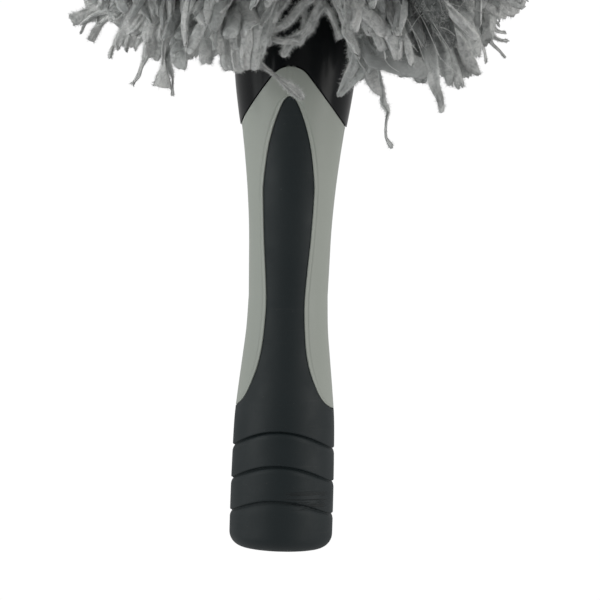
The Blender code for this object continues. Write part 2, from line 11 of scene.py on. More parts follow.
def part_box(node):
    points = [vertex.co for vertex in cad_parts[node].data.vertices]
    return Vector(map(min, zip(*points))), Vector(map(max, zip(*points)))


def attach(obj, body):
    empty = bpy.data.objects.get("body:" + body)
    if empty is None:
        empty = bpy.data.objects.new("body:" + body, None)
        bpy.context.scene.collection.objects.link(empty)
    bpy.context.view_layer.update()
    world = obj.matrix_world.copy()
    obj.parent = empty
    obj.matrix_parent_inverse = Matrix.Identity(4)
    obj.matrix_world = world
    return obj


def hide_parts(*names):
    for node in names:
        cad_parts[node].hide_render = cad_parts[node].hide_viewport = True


mm = 0.001

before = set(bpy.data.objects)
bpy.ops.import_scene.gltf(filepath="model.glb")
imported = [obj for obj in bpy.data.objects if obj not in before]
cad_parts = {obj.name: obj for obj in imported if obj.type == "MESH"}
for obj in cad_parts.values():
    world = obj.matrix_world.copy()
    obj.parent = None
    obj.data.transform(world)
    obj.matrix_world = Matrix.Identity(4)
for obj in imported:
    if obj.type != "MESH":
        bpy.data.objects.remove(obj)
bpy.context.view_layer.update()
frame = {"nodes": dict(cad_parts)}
nodes = frame["nodes"]

# Camera: level, a little towards +X, rolled so that the duster leans right
camera_distance = 600 * mm  # from the axis
camera_azimuth = math.radians(4)
camera_roll = math.radians(1.8)
aim_right, aim_up = 4.3, 88.75  # mm from the foot of the axis


def add_object(name, data):
    obj = bpy.data.objects.new(name, data)
    bpy.context.scene.collection.objects.link(obj)
    return obj


def make_camera():
    back = Vector((math.sin(camera_azimuth), -math.cos(camera_azimuth), 0))
    right = Vector((math.cos(camera_azimuth), math.sin(camera_azimuth), 0))
    up = Vector((0, 0, 1))
    aim = right * aim_right * mm + up * aim_up * mm
    data = bpy.data.cameras.new("camera")
    data.lens = 100
    data.sensor_width = 36
    data.clip_start = 0.01
    data.clip_end = 50
    camera = add_object("camera", data)
    rolled_right = right * math.cos(camera_roll) + up * math.sin(camera_roll)
    rolled_up = up * math.cos(camera_roll) - right * math.sin(camera_roll)
    turn = Matrix((rolled_right, rolled_up, back)).transposed()
    camera.matrix_world = Matrix.Translation(aim + back * camera_distance) @ turn.to_4x4()
    bpy.context.scene.camera = camera
    return camera


camera = make_camera()

# Stage: pale floor and backdrop that only the camera sees
stage_size = 6
stage_glow = 1.02
floor_drop = 0.2 * mm


def white_surface():
    material = bpy.data.materials.new("pale_stage")
    material.use_nodes = True
    tree = material.node_tree
    tree.nodes.clear()
    out = tree.nodes.new("ShaderNodeOutputMaterial")
    glow = tree.nodes.new("ShaderNodeEmission")
    glow.inputs["Color"].default_value = (1, 1, 1, 1)
    glow.inputs["Strength"].default_value = stage_glow
    tree.links.new(glow.outputs[0], out.inputs["Surface"])
    return material


def stage_piece(name, material):
    """Turn the object that was made last into a part of the stage that lights nothing."""
    obj = bpy.context.object
    obj.name = name
    obj.data.materials.append(material)
    for ray in ("diffuse", "glossy", "transmission", "shadow"):
        setattr(obj, "visible_" + ray, False)


def make_stage():
    pale = white_surface()
    bpy.ops.mesh.primitive_plane_add(size=stage_size, location=(0, 0, -floor_drop))
    stage_piece("floor", pale)
    bpy.ops.mesh.primitive_uv_sphere_add(segments=32, ring_count=16, radius=stage_size)
    stage_piece("backdrop", pale)


def lamp(name, kind, place, target, power, **settings):
    data = bpy.data.lights.new(name, kind)
    data.energy = power
    for key, value in settings.items():
        setattr(data, key, value)
    obj = add_object(name, data)
    obj.location = place
    obj.rotation_euler = (Vector(target) - Vector(place)).to_track_quat("-Z", "Y").to_euler()
    obj.visible_camera = False


class Nodes:
    """Node tree of a material or the world under construction."""

    def __init__(self, owner, place):
        owner.use_nodes = True
        self.tree = owner.node_tree
        self.place = self.add("TexCoord").outputs[place]

    def add(self, kind, **values):
        node = self.tree.nodes.new("ShaderNode" + kind)
        for key, value in values.items():
            setattr(node, key, value)
        return node

    def feed(self, socket, value):
        """Link a socket to another one, or set it to a number or a colour."""
        if isinstance(value, bpy.types.NodeSocket):
            self.tree.links.new(value, socket)
        else:
            socket.default_value = (*value, 1) if isinstance(value, tuple) else value

    def feed_all(self, node, **values):
        for socket, value in values.items():
            self.feed(node.inputs[socket.replace("_", " ")], value)

    def parts(self):
        """X, Y and Z of the place."""
        node = self.add("SeparateXYZ")
        self.feed(node.inputs[0], self.place)
        return node.outputs

    def remap(self, value, low, high, to_low=0, to_high=1, kind="LINEAR"):
        node = self.add("MapRange", interpolation_type=kind)
        self.feed_all(node, Value=value, From_Min=low, From_Max=high, To_Min=to_low, To_Max=to_high)
        return node.outputs["Result"]

    def math(self, operation, a, b):
        node = self.add("Math", operation=operation)
        for socket, value in zip(node.inputs, (a, b)):
            self.feed(socket, value)
        return node.outputs[0]


def make_surroundings():
    """White light from all round, dimmer from the camera's side and from above."""
    world = bpy.data.worlds.new("studio")
    bpy.context.scene.world = world
    nodes = Nodes(world, "Generated")
    parts = nodes.parts()
    from_front = nodes.remap(parts["Y"], -0.95, -0.2, 0.21, 0.4, "SMOOTHSTEP")
    from_below = nodes.remap(parts["Z"], -1, 1, 1.2, 1)
    sky = nodes.tree.nodes["Background"]
    nodes.feed_all(sky, Color=(1, 1, 1), Strength=nodes.math("MULTIPLY", from_front, from_below))


def make_lamps():
    """A broad lamp on either side, and a narrow one on the plume's left side."""
    middle = (0, 0, 0.2)
    plume_left = (-0.085, -0.01, 0.212)
    lamp("key_right", "AREA", (1.3, -0.5, 0.4), middle, 5.7, color=(1, 0.985, 0.95),
         shape="RECTANGLE", size=0.7, size_y=1.6)
    lamp("key_left", "AREA", (-1.25, -0.75, 0.45), middle, 7.6, color=(0.975, 1, 0.985),
         shape="RECTANGLE", size=1.4, size_y=1.8)
    lamp("plume_left", "SPOT", (-0.6, -0.4, 0.3), plume_left, 5.5, spot_size=math.radians(10.5),
         spot_blend=0.8, shadow_soft_size=60 * mm)


make_stage()
make_surroundings()
make_lamps()
bpy.context.scene.view_settings.view_transform = "Standard"


# Materials
class Look(Nodes):
    """A Principled material under construction."""

    def __init__(self, name, **values):
        self.material = bpy.data.materials.new(name)
        super().__init__(self.material, "Object")
        self.shader = self.tree.nodes["Principled BSDF"]
        self.feed_all(self.shader, **values)

    def stretched(self, scale):
        node = self.add("Mapping")
        self.feed(node.inputs["Vector"], self.place)
        node.inputs["Scale"].default_value = scale
        return node.outputs["Vector"]

    def noise(self, scale, detail=3, roughness=0.55, place=None, distortion=0.0):
        node = self.add("TexNoise")
        self.feed_all(node, Vector=place or self.place, Scale=scale, Detail=detail, Roughness=roughness,
                      Distortion=distortion)
        return node.outputs["Fac"]

    def mix(self, share, a, b):
        node = self.add("Mix", data_type="RGBA")
        inputs, outputs = ([s for s in side if s.type == "RGBA"] for side in (node.inputs, node.outputs))
        self.feed(node.inputs[0], share)
        for socket, value in zip(inputs, (a, b)):
            self.feed(socket, value)
        return outputs[0]

    def bump(self, height, strength, distance, before=None):
        node = self.add("Bump")
        self.feed_all(node, Height=height, Strength=strength, Distance=distance)
        if before is not None:
            self.feed(node.inputs["Normal"], before)
        return node.outputs["Normal"]

    def finish(self, color, roughness, normal):
        self.feed_all(self.shader, Base_Color=color, Roughness=roughness, Normal=normal)
        return self.material


def grey_plastic():
    look = Look("satin_grey")
    fine = look.noise(2600, 2)
    color = look.mix(look.remap(look.noise(22, 2), 0.3, 0.7), (0.465, 0.50, 0.45), (0.49, 0.525, 0.475))
    color = look.mix(look.remap(fine, 0.35, 0.75, 0, 0.2), color, (0.57, 0.6, 0.55))
    rough = look.remap(look.noise(160), 0.3, 0.7, 0.4, 0.52)
    return look.finish(color, rough, look.bump(fine, 0.12, 0.05 * mm))


def rub_marks(look):
    """Short level rub marks low on the front right of the grip."""
    parts = look.parts()
    lines = look.remap(look.noise(55, 3, 0.6, look.stretched((1, 1, 22))), 0.5, 0.57)
    for axis, low, high in (("X", 1, 5), ("X", 18, 15), ("Y", 2, -6), ("Z", 14.5, 16), ("Z", 23, 20.5)):
        lines = look.math("MULTIPLY", lines, look.remap(parts[axis], low * mm, high * mm))
    return lines


def soft_rubber():
    look = Look("soft_rubber", Specular_IOR_Level=0.48)
    fine = look.noise(1800, 3, 0.7)
    streaks = look.noise(60, 4, 0.65, look.stretched((1, 1, 14)))
    scuff = look.remap(streaks, 0.6, 0.78)
    specks = look.remap(look.noise(1150, 1), 0.76, 0.8)
    marks = look.math("MULTIPLY", rub_marks(look), 0.8)
    patches = look.remap(look.noise(30), 0.3, 0.7)
    color = look.mix(patches, (0.0085, 0.0165, 0.0192), (0.0128, 0.0208, 0.0235))
    color = look.mix(look.math("MULTIPLY", scuff, 0.5), color, (0.035, 0.038, 0.038))
    color = look.mix(look.math("MULTIPLY", specks, 0.4), color, (0.09, 0.09, 0.09))
    color = look.mix(marks, color, (0.0025, 0.006, 0.007))
    rough = look.remap(look.noise(90, 4), 0.3, 0.7, 0.5, 0.64)
    pressed = look.math("SUBTRACT", 1, marks)
    normal = look.bump(pressed, 0.9, 0.2 * mm, look.bump(fine, 0.25, 0.04 * mm))
    return look.finish(color, rough, look.bump(streaks, 0.2, 0.05 * mm, normal))


def gloss_plastic():
    look = Look("gloss_black", Specular_IOR_Level=0.22)
    smudge = look.noise(70, 4, 0.6)
    color = look.mix(look.remap(smudge, 0.3, 0.75), (0.0066, 0.0079, 0.009), (0.0102, 0.0118, 0.0131))
    rough = look.remap(smudge, 0.35, 0.75, 0.16, 0.27)
    return look.finish(color, rough, look.bump(look.noise(900, 2), 0.05, 0.02 * mm))


def moulded(name, scales, dark, light, rough, grain):
    """Plain moulded finish: mottled colour, uneven roughness and a fine grain."""
    look = Look(name)
    mottle, patches, pits = scales
    color = look.mix(look.remap(look.noise(mottle), 0.3, 0.7), dark, light)
    rough = look.remap(look.noise(patches), 0.3, 0.7, *rough)
    return look.finish(color, rough, look.bump(look.noise(pits, 2), grain, 0.04 * mm))


def bright_steel():
    look = Look("bright_steel", Metallic=1.0)
    lines = look.noise(400, 3, 0.6, look.stretched((1, 8, 8)))
    color = look.mix(look.remap(lines, 0.3, 0.7), (0.56, 0.56, 0.57), (0.66, 0.66, 0.66))
    rough = look.remap(lines, 0.3, 0.7, 0.22, 0.36)
    return look.finish(color, rough, look.bump(lines, 0.08, 0.02 * mm))


def felt():
    look = Look("microfibre_felt", Sheen_Weight=1.0, Sheen_Roughness=0.4, Diffuse_Roughness=0.2)
    tone = look.add("Attribute", attribute_name="tone").outputs["Fac"]
    patch = look.remap(look.noise(130, 5, 0.65), 0.34, 0.66)
    color = look.mix(patch, (0.74, 0.77, 0.755), (0.91, 0.93, 0.92))
    # Tone lightens the felt above 0 and darkens it below 0: besides random tone it carries painted light on
    # thin tips and edges, and painted shade at the roots, in the hollow and on upper parts of strips
    color = look.mix(look.remap(tone, 0, 1.5), color, (0.96, 0.965, 0.95))
    color = look.mix(look.remap(tone, 0, -1.4, 0, 0.95), color, (0.06, 0.066, 0.065))
    tuft = look.noise(430, 4, 0.7, distortion=0.8)
    color = look.mix(look.remap(tuft, 0.34, 0.58, 0.6, 0), color, (0.34, 0.36, 0.355))
    fine = look.noise(2200, 3, 0.7)
    rough = look.remap(fine, 0.3, 0.7, 0.85, 0.98)
    return look.finish(color, rough, look.bump(fine, 0.6, 0.2 * mm, look.bump(tuft, 0.9, 0.8 * mm)))


fibre = felt()
gloss = gloss_plastic()
steel = bright_steel()
inner = moulded("inner_white", (40, 300, 1500), (0.5, 0.5, 0.47), (0.56, 0.555, 0.53), (0.42, 0.55), 0.1)
ring = moulded("ring_rubber_look", (300, 500, 1200), (0.012,) * 3, (0.02,) * 3, (0.6, 0.75), 0.2)
finishes = {
    "handle_body": grey_plastic(), "soft_grip": soft_rubber(), "grip_ring": ring,
    "collar": gloss, "stem_plug": gloss, "plug_pin": steel, "tip_screw": steel,
    "butt_plug": inner, "stem": inner, "head_flange": inner, "tip_cap": inner,
}
for name, obj in nodes.items():
    obj.data.materials.clear()
    obj.data.materials.append(finishes.get(name, fibre))


# Plume of microfibre strips
bands = 8
plume_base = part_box("head_flange")[1].z + 0.3 * mm
plume_pitch = (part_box("tip_cap")[0].z - plume_base) / bands
sleeve_radius = 9 * mm
sleeve_bore = 6.35 * mm
root_radius = 7.5 * mm
plume_radius = 88 * mm
strip_length = 80 * mm
strip_widths = (3, 4.8, 7.6)  # mm: least, most common and largest
wide_one_in, wide_factor = 9, 1.7  # one strip in nine is wider still
shortest, longest, long_bias = 0.74, 1.04, 2.2  # lengths as shares, and how strongly most are long
height_stray, bend_stray, middle_stray = 5 * mm, 4 * mm, 7 * mm  # how far tips and bends stray
lean_stray = math.radians(15)
golden_turn = 0.38196601  # share of a turn from one strip to the next
samples = 97  # points of a centre line
row_shapes = np.array([  # share of the plume's height, reach, rise of the tip, place and rise of the bend
    (0.0, 0.52, -0.48, 0.6, 0.2),
    (1 / 15, 0.69, -0.6, 0.58, 0.19),
    (2 / 15, 0.85, -0.59, 0.58, 0.18),
    (3 / 15, 0.94, -0.55, 0.56, 0.17),
    (5 / 15, 1.0, -0.46, 0.55, 0.17),
    (9 / 15, 1.0, -0.36, 0.55, 0.2),
    (11 / 15, 0.97, -0.14, 0.53, 0.25),
    (13 / 15, 0.84, 0.13, 0.48, 0.34),
    (14 / 15, 0.69, 0.33, 0.44, 0.44),
    (1.0, 0.46, 0.44, 0.36, 0.56),
])
# Lower edge of the plume's mass in the photograph, as pixel x and pixel y, and where along x it holds
fringe_span = (56, 540)
fringe_edge = np.array([
    (60, -8), (80, -6), (86, 2), (97, 8), (108, 12), (118, 16), (122, 20), (125, 40), (135, 44), (143, 42),
    (150, 54), (163, 54), (176, 58), (188, 64), (194, 56), (200, 54), (206, 60), (214, 52), (220, 48),
    (228, 64), (240, 68), (256, 66), (262, 40), (270, 10), (280, -4), (336, -6), (343, 26), (352, 56),
    (362, 76), (376, 68), (384, 70), (395, 72), (408, 77), (428, 81), (440, 79), (455, 80), (462, 80),
    (466, 70), (471, 56), (480, 44), (490, 40), (494, 26), (500, 14), (518, 13), (524, 0), (532, -6),
])


def soft_noise(rng, rows, knots, places):
    """Smooth random curves from -1 to 1, one a row, read at places from 0 to 1."""
    values = rng.uniform(-1, 1, (rows, knots + 2))
    place = 0.25 + places * (knots + 0.5)
    low = np.floor(place).astype(int)
    t = place - low
    t = t * t * (3 - 2 * t)
    return values[:, low] * (1 - t) + values[:, low + 1] * t


def soft_wander(rng, rows, knots, places):
    """Smooth random offsets in space."""
    return np.stack([soft_noise(rng, rows, knots, places) for _ in range(3)], -1)


def smooth_step(low, high, value):
    t = np.clip((value - low) / (high - low), 0, 1)
    return t * t * (3 - 2 * t)


def unit(vectors):
    return vectors / np.maximum(np.linalg.norm(vectors, axis=-1, keepdims=True), 1e-12)


def crowded(count):
    """Shares along a strip, closer together towards its tip."""
    return 1 - (1 - np.linspace(0, 1, count)) ** 1.5


view_right, view_up, view_back = (np.array(camera.matrix_world.col[k][:3]) for k in range(3))
view_from = np.array(camera.matrix_world.translation)
view_middle = 300
view_scale = 2 * view_middle * camera.data.lens / camera.data.sensor_width


def in_view(points):
    """Place in the 600 x 600 view, and distance in front of the camera."""
    away = points - view_from
    depth = -(away @ view_back)
    x = view_middle + view_scale * (away @ view_right) / depth
    y = view_middle - view_scale * (away @ view_up) / depth
    return x, y, depth


def from_view(x, y, forward):
    """Point seen at a place of the view, moved towards the camera from the plane through the axis."""
    depth = camera_distance - forward
    sideways = view_right * (x - view_middle) + view_up * (view_middle - y)
    return view_from - view_back * depth + sideways * depth / view_scale


def read_lines(lines, s):
    """Points of sampled lines (n, samples, 3) at shares s of shape (n, a, b)."""
    last = lines.shape[1] - 1
    place = np.clip(s, 0, 1.06) * last
    low = np.minimum(place.astype(int), last - 1)
    t = (place - low)[..., None]
    row = np.arange(len(lines))[:, None, None]
    return lines[row, low] * (1 - t) + lines[row, low + 1] * t


def lowest_reach(radius):
    """Height of the plume's lower edge, level near the axis and rising outwards."""
    level, level_radius, rise, rise_width = 169.5 * mm, 45 * mm, 20 * mm, 40 * mm
    return level + rise * np.clip((radius - level_radius) / rise_width, 0, 2) ** 2


def at(radius, angle, z):
    return np.stack([radius * np.cos(angle), radius * np.sin(angle), z], -1)


def strip_lines(rng, count, low, high):
    """Centre lines of a band's strips, from the sleeve to their tips."""
    height = rng.uniform(low, high, count)
    share = np.clip((height - plume_base - 2 * mm) / (plume_pitch * (bands - 0.5)), 0, 1)
    reach, rise, bend, lift = (np.interp(share, row_shapes[:, 0], row_shapes[:, k]) for k in range(1, 5))
    stretch = longest - (longest - shortest) * rng.uniform(0, 1, count) ** long_bias
    azimuth = (np.arange(count) * golden_turn + rng.uniform(-0.03, 0.03, count)) * math.tau
    tip_radius = sleeve_radius + (reach * plume_radius - sleeve_radius) * stretch
    tip_height = height + rise * strip_length * stretch + rng.normal(0, height_stray, count)
    bend_radius = sleeve_radius + (tip_radius - sleeve_radius) * (bend + rng.normal(0, 0.07, count))
    bend_height = height + lift * strip_length + rng.normal(0, bend_stray, count)
    tip_height = np.maximum(tip_height, lowest_reach(tip_radius) + rng.uniform(-1, 8, count) * mm)
    lean = rng.normal(0, lean_stray, count)
    root = at(np.full(count, root_radius), azimuth, height)
    middle = at(bend_radius, azimuth + lean * 0.3, bend_height)
    tip = at(tip_radius, azimuth + lean, tip_height)
    first = root + (middle - root) * 2 / 3 + rng.normal(0, 1.5 * mm, (count, 3))
    second = tip + (middle - tip) * 2 / 3 + rng.normal(0, middle_stray, (count, 3))
    places = np.linspace(0, 1, samples)
    s = places[None, :, None]
    a, b, c, d = (p[:, None] for p in (root, first, second, tip))
    lines = (1 - s) ** 3 * a + 3 * (1 - s) ** 2 * s * b + 3 * (1 - s) * s * s * c + s ** 3 * d
    for knots, stray, low, high in ((3, 5.5, 0.05, 0.8), (10, 2.3, 0.3, 1)):
        lines = lines + soft_wander(rng, count, knots, places) * stray * mm * smooth_step(low, high, s)
    return keep_in_edge(rng, lines)


def keep_in_edge(rng, lines):
    """Lift strips whose ends would hang below the photographed fringe."""
    s = np.linspace(0, 1, samples)
    for _ in range(5):
        x, y, depth = in_view(lines)
        lowest = np.interp(x, fringe_edge[:, 0], fringe_edge[:, 1]) - 2
        inside = (x > fringe_span[0]) * (x < fringe_span[1])
        over = np.maximum(y - lowest, 0) * (depth / view_scale) * inside
        if not over.any():
            break
        lift = over.max(1)
        which = np.argmax(over, 1)
        start = np.minimum(s[which] * 0.6, 0.5)
        ramp = np.clip((s[None] - start[:, None]) / np.maximum(s[which] - start, 0.05)[:, None], 0, 1.3)
        lines = lines.copy()
        lines[..., 2] += lift[:, None] * (1 + rng.uniform(0.02, 0.2, (len(lines), 1))) * ramp
    return lines


def width_profiles(kinds, widths, s):
    """Half widths along the strips. Kinds: 0 ragged end, 1 leaf, 2 thin neck, flared end, 3 rounded lobe."""
    swell = 0.4 + 0.6 * smooth_step(0.0, 0.5, s)
    leaf = swell * (1 - smooth_step(0.45, 1.0, s) ** 1.6) + 0.04
    neck = swell * (1 - smooth_step(0.5, 0.72, s)) + 0.11 + 0.3 * smooth_step(0.9, 1, s)
    lobe = swell * (1 - 0.35 * smooth_step(0.7, 1.0, s))
    return widths[:, None] / 2 * np.stack([swell, leaf, neck, lobe])[kinds]


class Strips:
    """Soft flat strips along their centre lines, as one mesh."""

    def __init__(self, rng, lines, half, teeth, roundness, columns, thick, crumple=1, facing=None, twist=1):
        self.s = crowded(half.shape[1])
        self.u = np.linspace(-1, 1, columns)
        self.half = self.rounded(half, lines, roundness)
        self.place_sections(rng, lines, teeth, crumple, facing, twist)
        self.place_rings(rng, crumple, thick)
        self.painted_light_and_tone = self.paint_light_and_tone(rng)

    def rounded(self, half, lines, roundness):
        """Half widths that close in an arc at the tip."""
        length = np.linalg.norm(np.diff(lines, axis=1), axis=2).sum(1)
        end = np.clip(half[:, -1] * 1.2 / length, 0.01, 0.2)[:, None]
        arc = np.sqrt(np.clip(1 - np.clip((self.s - 1 + end) / end, 0, 1) ** 2, 0.01, 1))
        return half * (1 - roundness[:, None] * (1 - arc))

    def place_sections(self, rng, lines, teeth, crumple, facing, twist):
        """Middle surface of every section, with its torn end, uneven sides, curl and ripples."""
        n, s, u = len(lines), self.s, self.u
        ends = soft_noise(rng, n, 2, (u + 1) / 2) * 0.6 + rng.uniform(-0.4, 0.4, (n, len(u)))
        along = s[None, :, None] + (ends * teeth[:, None])[:, None, :] * smooth_step(0.8, 1, s)[None, :, None]
        left, right = (self.uneven_half(rng, crumple)[..., None] for _ in range(2))
        across = np.where(u < 0, left, right) * u
        self.turn_sections(rng, lines, facing, twist)
        curl = (rng.normal(0, 0.3, n)[:, None] + 0.5 * soft_noise(rng, n, 4, s))[..., None]
        height = curl * (u * u - 0.35)[None, None] * self.half[..., None] * crumple
        ripple = self.surface_noise(rng, 14) * 0.7 * mm
        height = height + ripple * crumple * smooth_step(0.1, 0.4, s)[None, :, None]
        base = read_lines(lines, along)
        self.centre = base + self.wide * across[..., None] + self.normal * height[..., None]

    def turn_sections(self, rng, lines, facing, twist):
        """Directions of every section: along the strip, across it and out of its face."""
        n, stations = self.half.shape
        middle = read_lines(lines, np.broadcast_to(self.s[None, :, None], (n, stations, 1)))
        self.slope = unit(np.gradient(middle[:, :, 0], axis=1))[:, :, None]
        if facing is None:
            azimuth = np.arctan2(lines[:, -1, 1], lines[:, -1, 0])
            side = np.stack([-np.sin(azimuth), np.cos(azimuth), np.zeros(n)], -1)[:, None, None]
        else:
            side = np.cross(self.slope, facing)
        side = unit(side - self.slope * (side * self.slope).sum(-1, keepdims=True))
        face = np.cross(side, self.slope)
        turn = rng.normal(0, 0.5, n)[:, None] + rng.normal(0, 0.8, n)[:, None] * self.s[None]
        turn = (turn + 0.6 * soft_noise(rng, n, 4, self.s))[..., None, None] * twist
        self.wide = side * np.cos(turn) + face * np.sin(turn)
        self.normal = face * np.cos(turn) - side * np.sin(turn)

    def uneven_half(self, rng, crumple):
        """Half widths of one side, which swell and shrink along the strips."""
        broad, fine = (soft_noise(rng, len(self.half), knots, self.s) for knots in (6, 15))
        return self.half * (1 + crumple * (0.22 * broad + 0.14 * fine))

    def surface_noise(self, rng, knots):
        """Smooth noise along every column of every strip."""
        n, stations = self.half.shape
        columns = len(self.u)
        values = soft_noise(rng, n * columns, knots, self.s)
        return values.reshape(n, columns, stations).transpose(0, 2, 1)

    def place_rings(self, rng, crumple, thick):
        """Closed sections with a rounded, lumpy thickness."""
        close = np.sqrt(np.clip(1 - smooth_step(0.92, 1.0, self.s) ** 2 * 0.94, 0, 1))
        lumps = self.surface_noise(rng, 18) * (1 - smooth_step(0.85, 1, self.s))[None, :, None]
        room = np.minimum(thick, self.half * 0.7)
        across = np.sqrt(1 - (0.975 * self.u) ** 2)
        thickness = across * (close * room)[..., None] * (1 + 0.4 * crumple * lumps)
        top = self.centre + self.normal * thickness[..., None]
        under = (self.centre - self.normal * thickness[..., None])[:, :, -2:0:-1]
        self.rings = np.concatenate([top, under], 2)

    def paint_light_and_tone(self, rng):
        """Painted light on thin edges and tips, painted shade at the roots, and uneven patches, as changes of
        tone.
        """
        # Random patches, and lighter tips as painted light; the darker roots on the next line are painted
        # shade
        along = 0.35 * soft_noise(rng, len(self.half), 12, self.s) + 0.3 * smooth_step(0.8, 1, self.s)
        along = along - 0.9 * (1 - smooth_step(0.2, 0.75, self.s))
        # Lighter edges: painted light
        edges = 0.25 * np.abs(self.u) ** 3
        tone = along[..., None] + edges
        return np.concatenate([tone, tone[:, :, -2:0:-1]], 2)

    def faces(self):
        """Side faces and both end caps of every strip."""
        n, stations, per_ring, _ = self.rings.shape
        one = [(a, d, c, b) for a, b, c, d in tube_faces(stations, per_ring)[:-per_ring]]
        for first, step in ((0, 1), ((stations - 1) * per_ring, -1)):
            one += [[first + i for i in cap][::step] for cap in ring_cap(len(self.u), per_ring)]
        size = stations * per_ring
        return [tuple(start + i for i in f) for start in range(0, n * size, size) for f in one]

    def smooth(self):
        """Whether each face is shaded smooth: the end caps aren't."""
        n, stations, per_ring, _ = self.rings.shape
        sides, caps = (stations - 1) * per_ring, 2 * (len(self.u) - 1)
        return np.tile(np.repeat([True, False], [sides, caps]), n)


def tube_faces(rings, steps):
    """Faces between rings of points, and last those from the last ring back to the first."""
    faces = []
    for ring in range(rings):
        low, high = ring * steps, (ring + 1) % rings * steps
        for i in range(steps):
            j = (i + 1) % steps
            faces.append((low + i, low + j, high + j, high + i))
    return faces


def ring_cap(columns, per_ring):
    """Faces that close one ring of a strip: a triangle at each edge and quads between."""
    caps = []
    for i in range(columns - 1):
        corners = [i, i + 1, per_ring - i - 1, (per_ring - i) % per_ring]
        caps.append(list(dict.fromkeys(corners)))
    return caps


def fuzz_mesh(rng, strips, per_strip, reach, width, first):
    """Fine fibres that stand off the strips' edges and faces, from a first share of their length on."""
    n, stations = strips.half.shape
    count = n * per_strip
    which = np.repeat(np.arange(n), per_strip)
    place = np.interp(rng.uniform(first, 1, count), strips.s, np.arange(stations))
    low = np.minimum(place.astype(int), stations - 2)
    t = (place - low)[:, None]

    def read(values):
        return values[which, low] * (1 - t) + values[which, low + 1] * t

    across = np.clip(rng.normal(0, 0.9, count), -1, 1)[:, None]
    a = read(strips.centre[:, :, 0]) * (1 - across) / 2 + read(strips.centre[:, :, -1]) * (1 + across) / 2
    out, ahead = unit(read(strips.wide[:, :, 0])), unit(read(strips.slope[:, :, 0]))
    away = unit(read(strips.normal[:, :, 0])) * rng.choice([-1, 1], (count, 1)) * np.sqrt(1 - across ** 2)
    way = out * across + away + ahead * rng.uniform(-0.3, 1.2, count)[:, None]
    way = unit(way + 0.5 * rng.normal(0, 1, (count, 3)))
    room = np.clip(read(strips.half[:, :, None]) / (1.2 * mm), 0.3, 1)
    tip = a + way * rng.uniform(*reach, count)[:, None] * room
    thin = unit(np.cross(way, rng.normal(0, 1, (count, 3)))) * width / 2
    points = np.stack([a - thin, a + thin, tip], 1).reshape(-1, 3)
    return points, np.arange(count * 3).reshape(-1, 3).tolist()


class Bundle:
    """Points and faces of many strips, gathered into one piece."""

    def __init__(self):
        self.points, self.faces, self.smooth, self.tones, self.count = [], [], [], [], 0

    def take(self, points, faces, tones, smooth=True):
        self.points.append(points)
        self.faces += [tuple(self.count + i for i in f) for f in faces]
        self.smooth.append(np.broadcast_to(smooth, len(faces)))
        self.tones.append(np.broadcast_to(tones, len(points)))
        self.count += len(points)

    def take_strips(self, strips, tones):
        tones_with_painted_light = (np.asarray(tones)[:, None, None] + strips.painted_light_and_tone).reshape(-1)
        self.take(strips.rings.reshape(-1, 3), strips.faces(), tones_with_painted_light, strips.smooth())

    def piece(self, name, node):
        """A felt piece that rides on the head and stands for a band of strips."""
        mesh = bpy.data.meshes.new(name)
        mesh.from_pydata(np.concatenate(self.points).tolist(), [], self.faces)
        mesh.polygons.foreach_set("use_smooth", np.concatenate(self.smooth))
        mesh.update()
        # The tone attribute carries random tone together with painted light and painted shade
        layer = mesh.attributes.new("tone", "FLOAT", "POINT")
        layer.data.foreach_set("value", np.concatenate(self.tones).astype(np.float32))
        mesh.materials.append(fibre)
        obj = add_object(name, mesh)
        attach(obj, "head")
        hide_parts(node)


def sleeve(low, high, steps=48):
    """Backing wound round the stem."""
    turns = np.arange(steps) * math.tau / steps
    section = [(sleeve_bore, low), (sleeve_bore, high), (sleeve_radius, high), (sleeve_radius, low)]
    rings = [at(np.full_like(turns, radius), turns, np.full_like(turns, z)) for radius, z in section]
    return np.concatenate(rings), tube_faces(len(rings), steps)


# Painted shade in the hollow on the front right of the plume: its place and size as pixels, and how deep it
# lies
hollow_place = np.array((430, 16))
hollow_size = np.array((22, 26))
hollow_depth = 575 * mm
hollow_painted_shade = -2.2


def hollow_shade_share(lines):
    """How far the strips' tips lie in the hollow, where their colour is darkened as painted shade."""
    *place, depth = in_view(lines[:, -1])
    away = (np.stack(place, -1) - hollow_place) / hollow_size
    return np.exp(-(away ** 2).sum(-1)) * (depth < hollow_depth)


# Detail of the bands from the lowest up: pieces, strips, stations, columns and fibres a strip
band_detail = [(3, 165, 24, 7, 560), (3, 165, 24, 7, 560), (2, 250, 22, 7, 220), (1, 290, 16, 5, 130)]
kind_shares = (0.3, 0.04, 0.08, 0.58)  # of the four kinds of width_profiles
fuzz_reach, fuzz_width, fuzz_first = (0.6 * mm, 2.4 * mm), 0.13 * mm, 0.25  # fine fibres on the strips


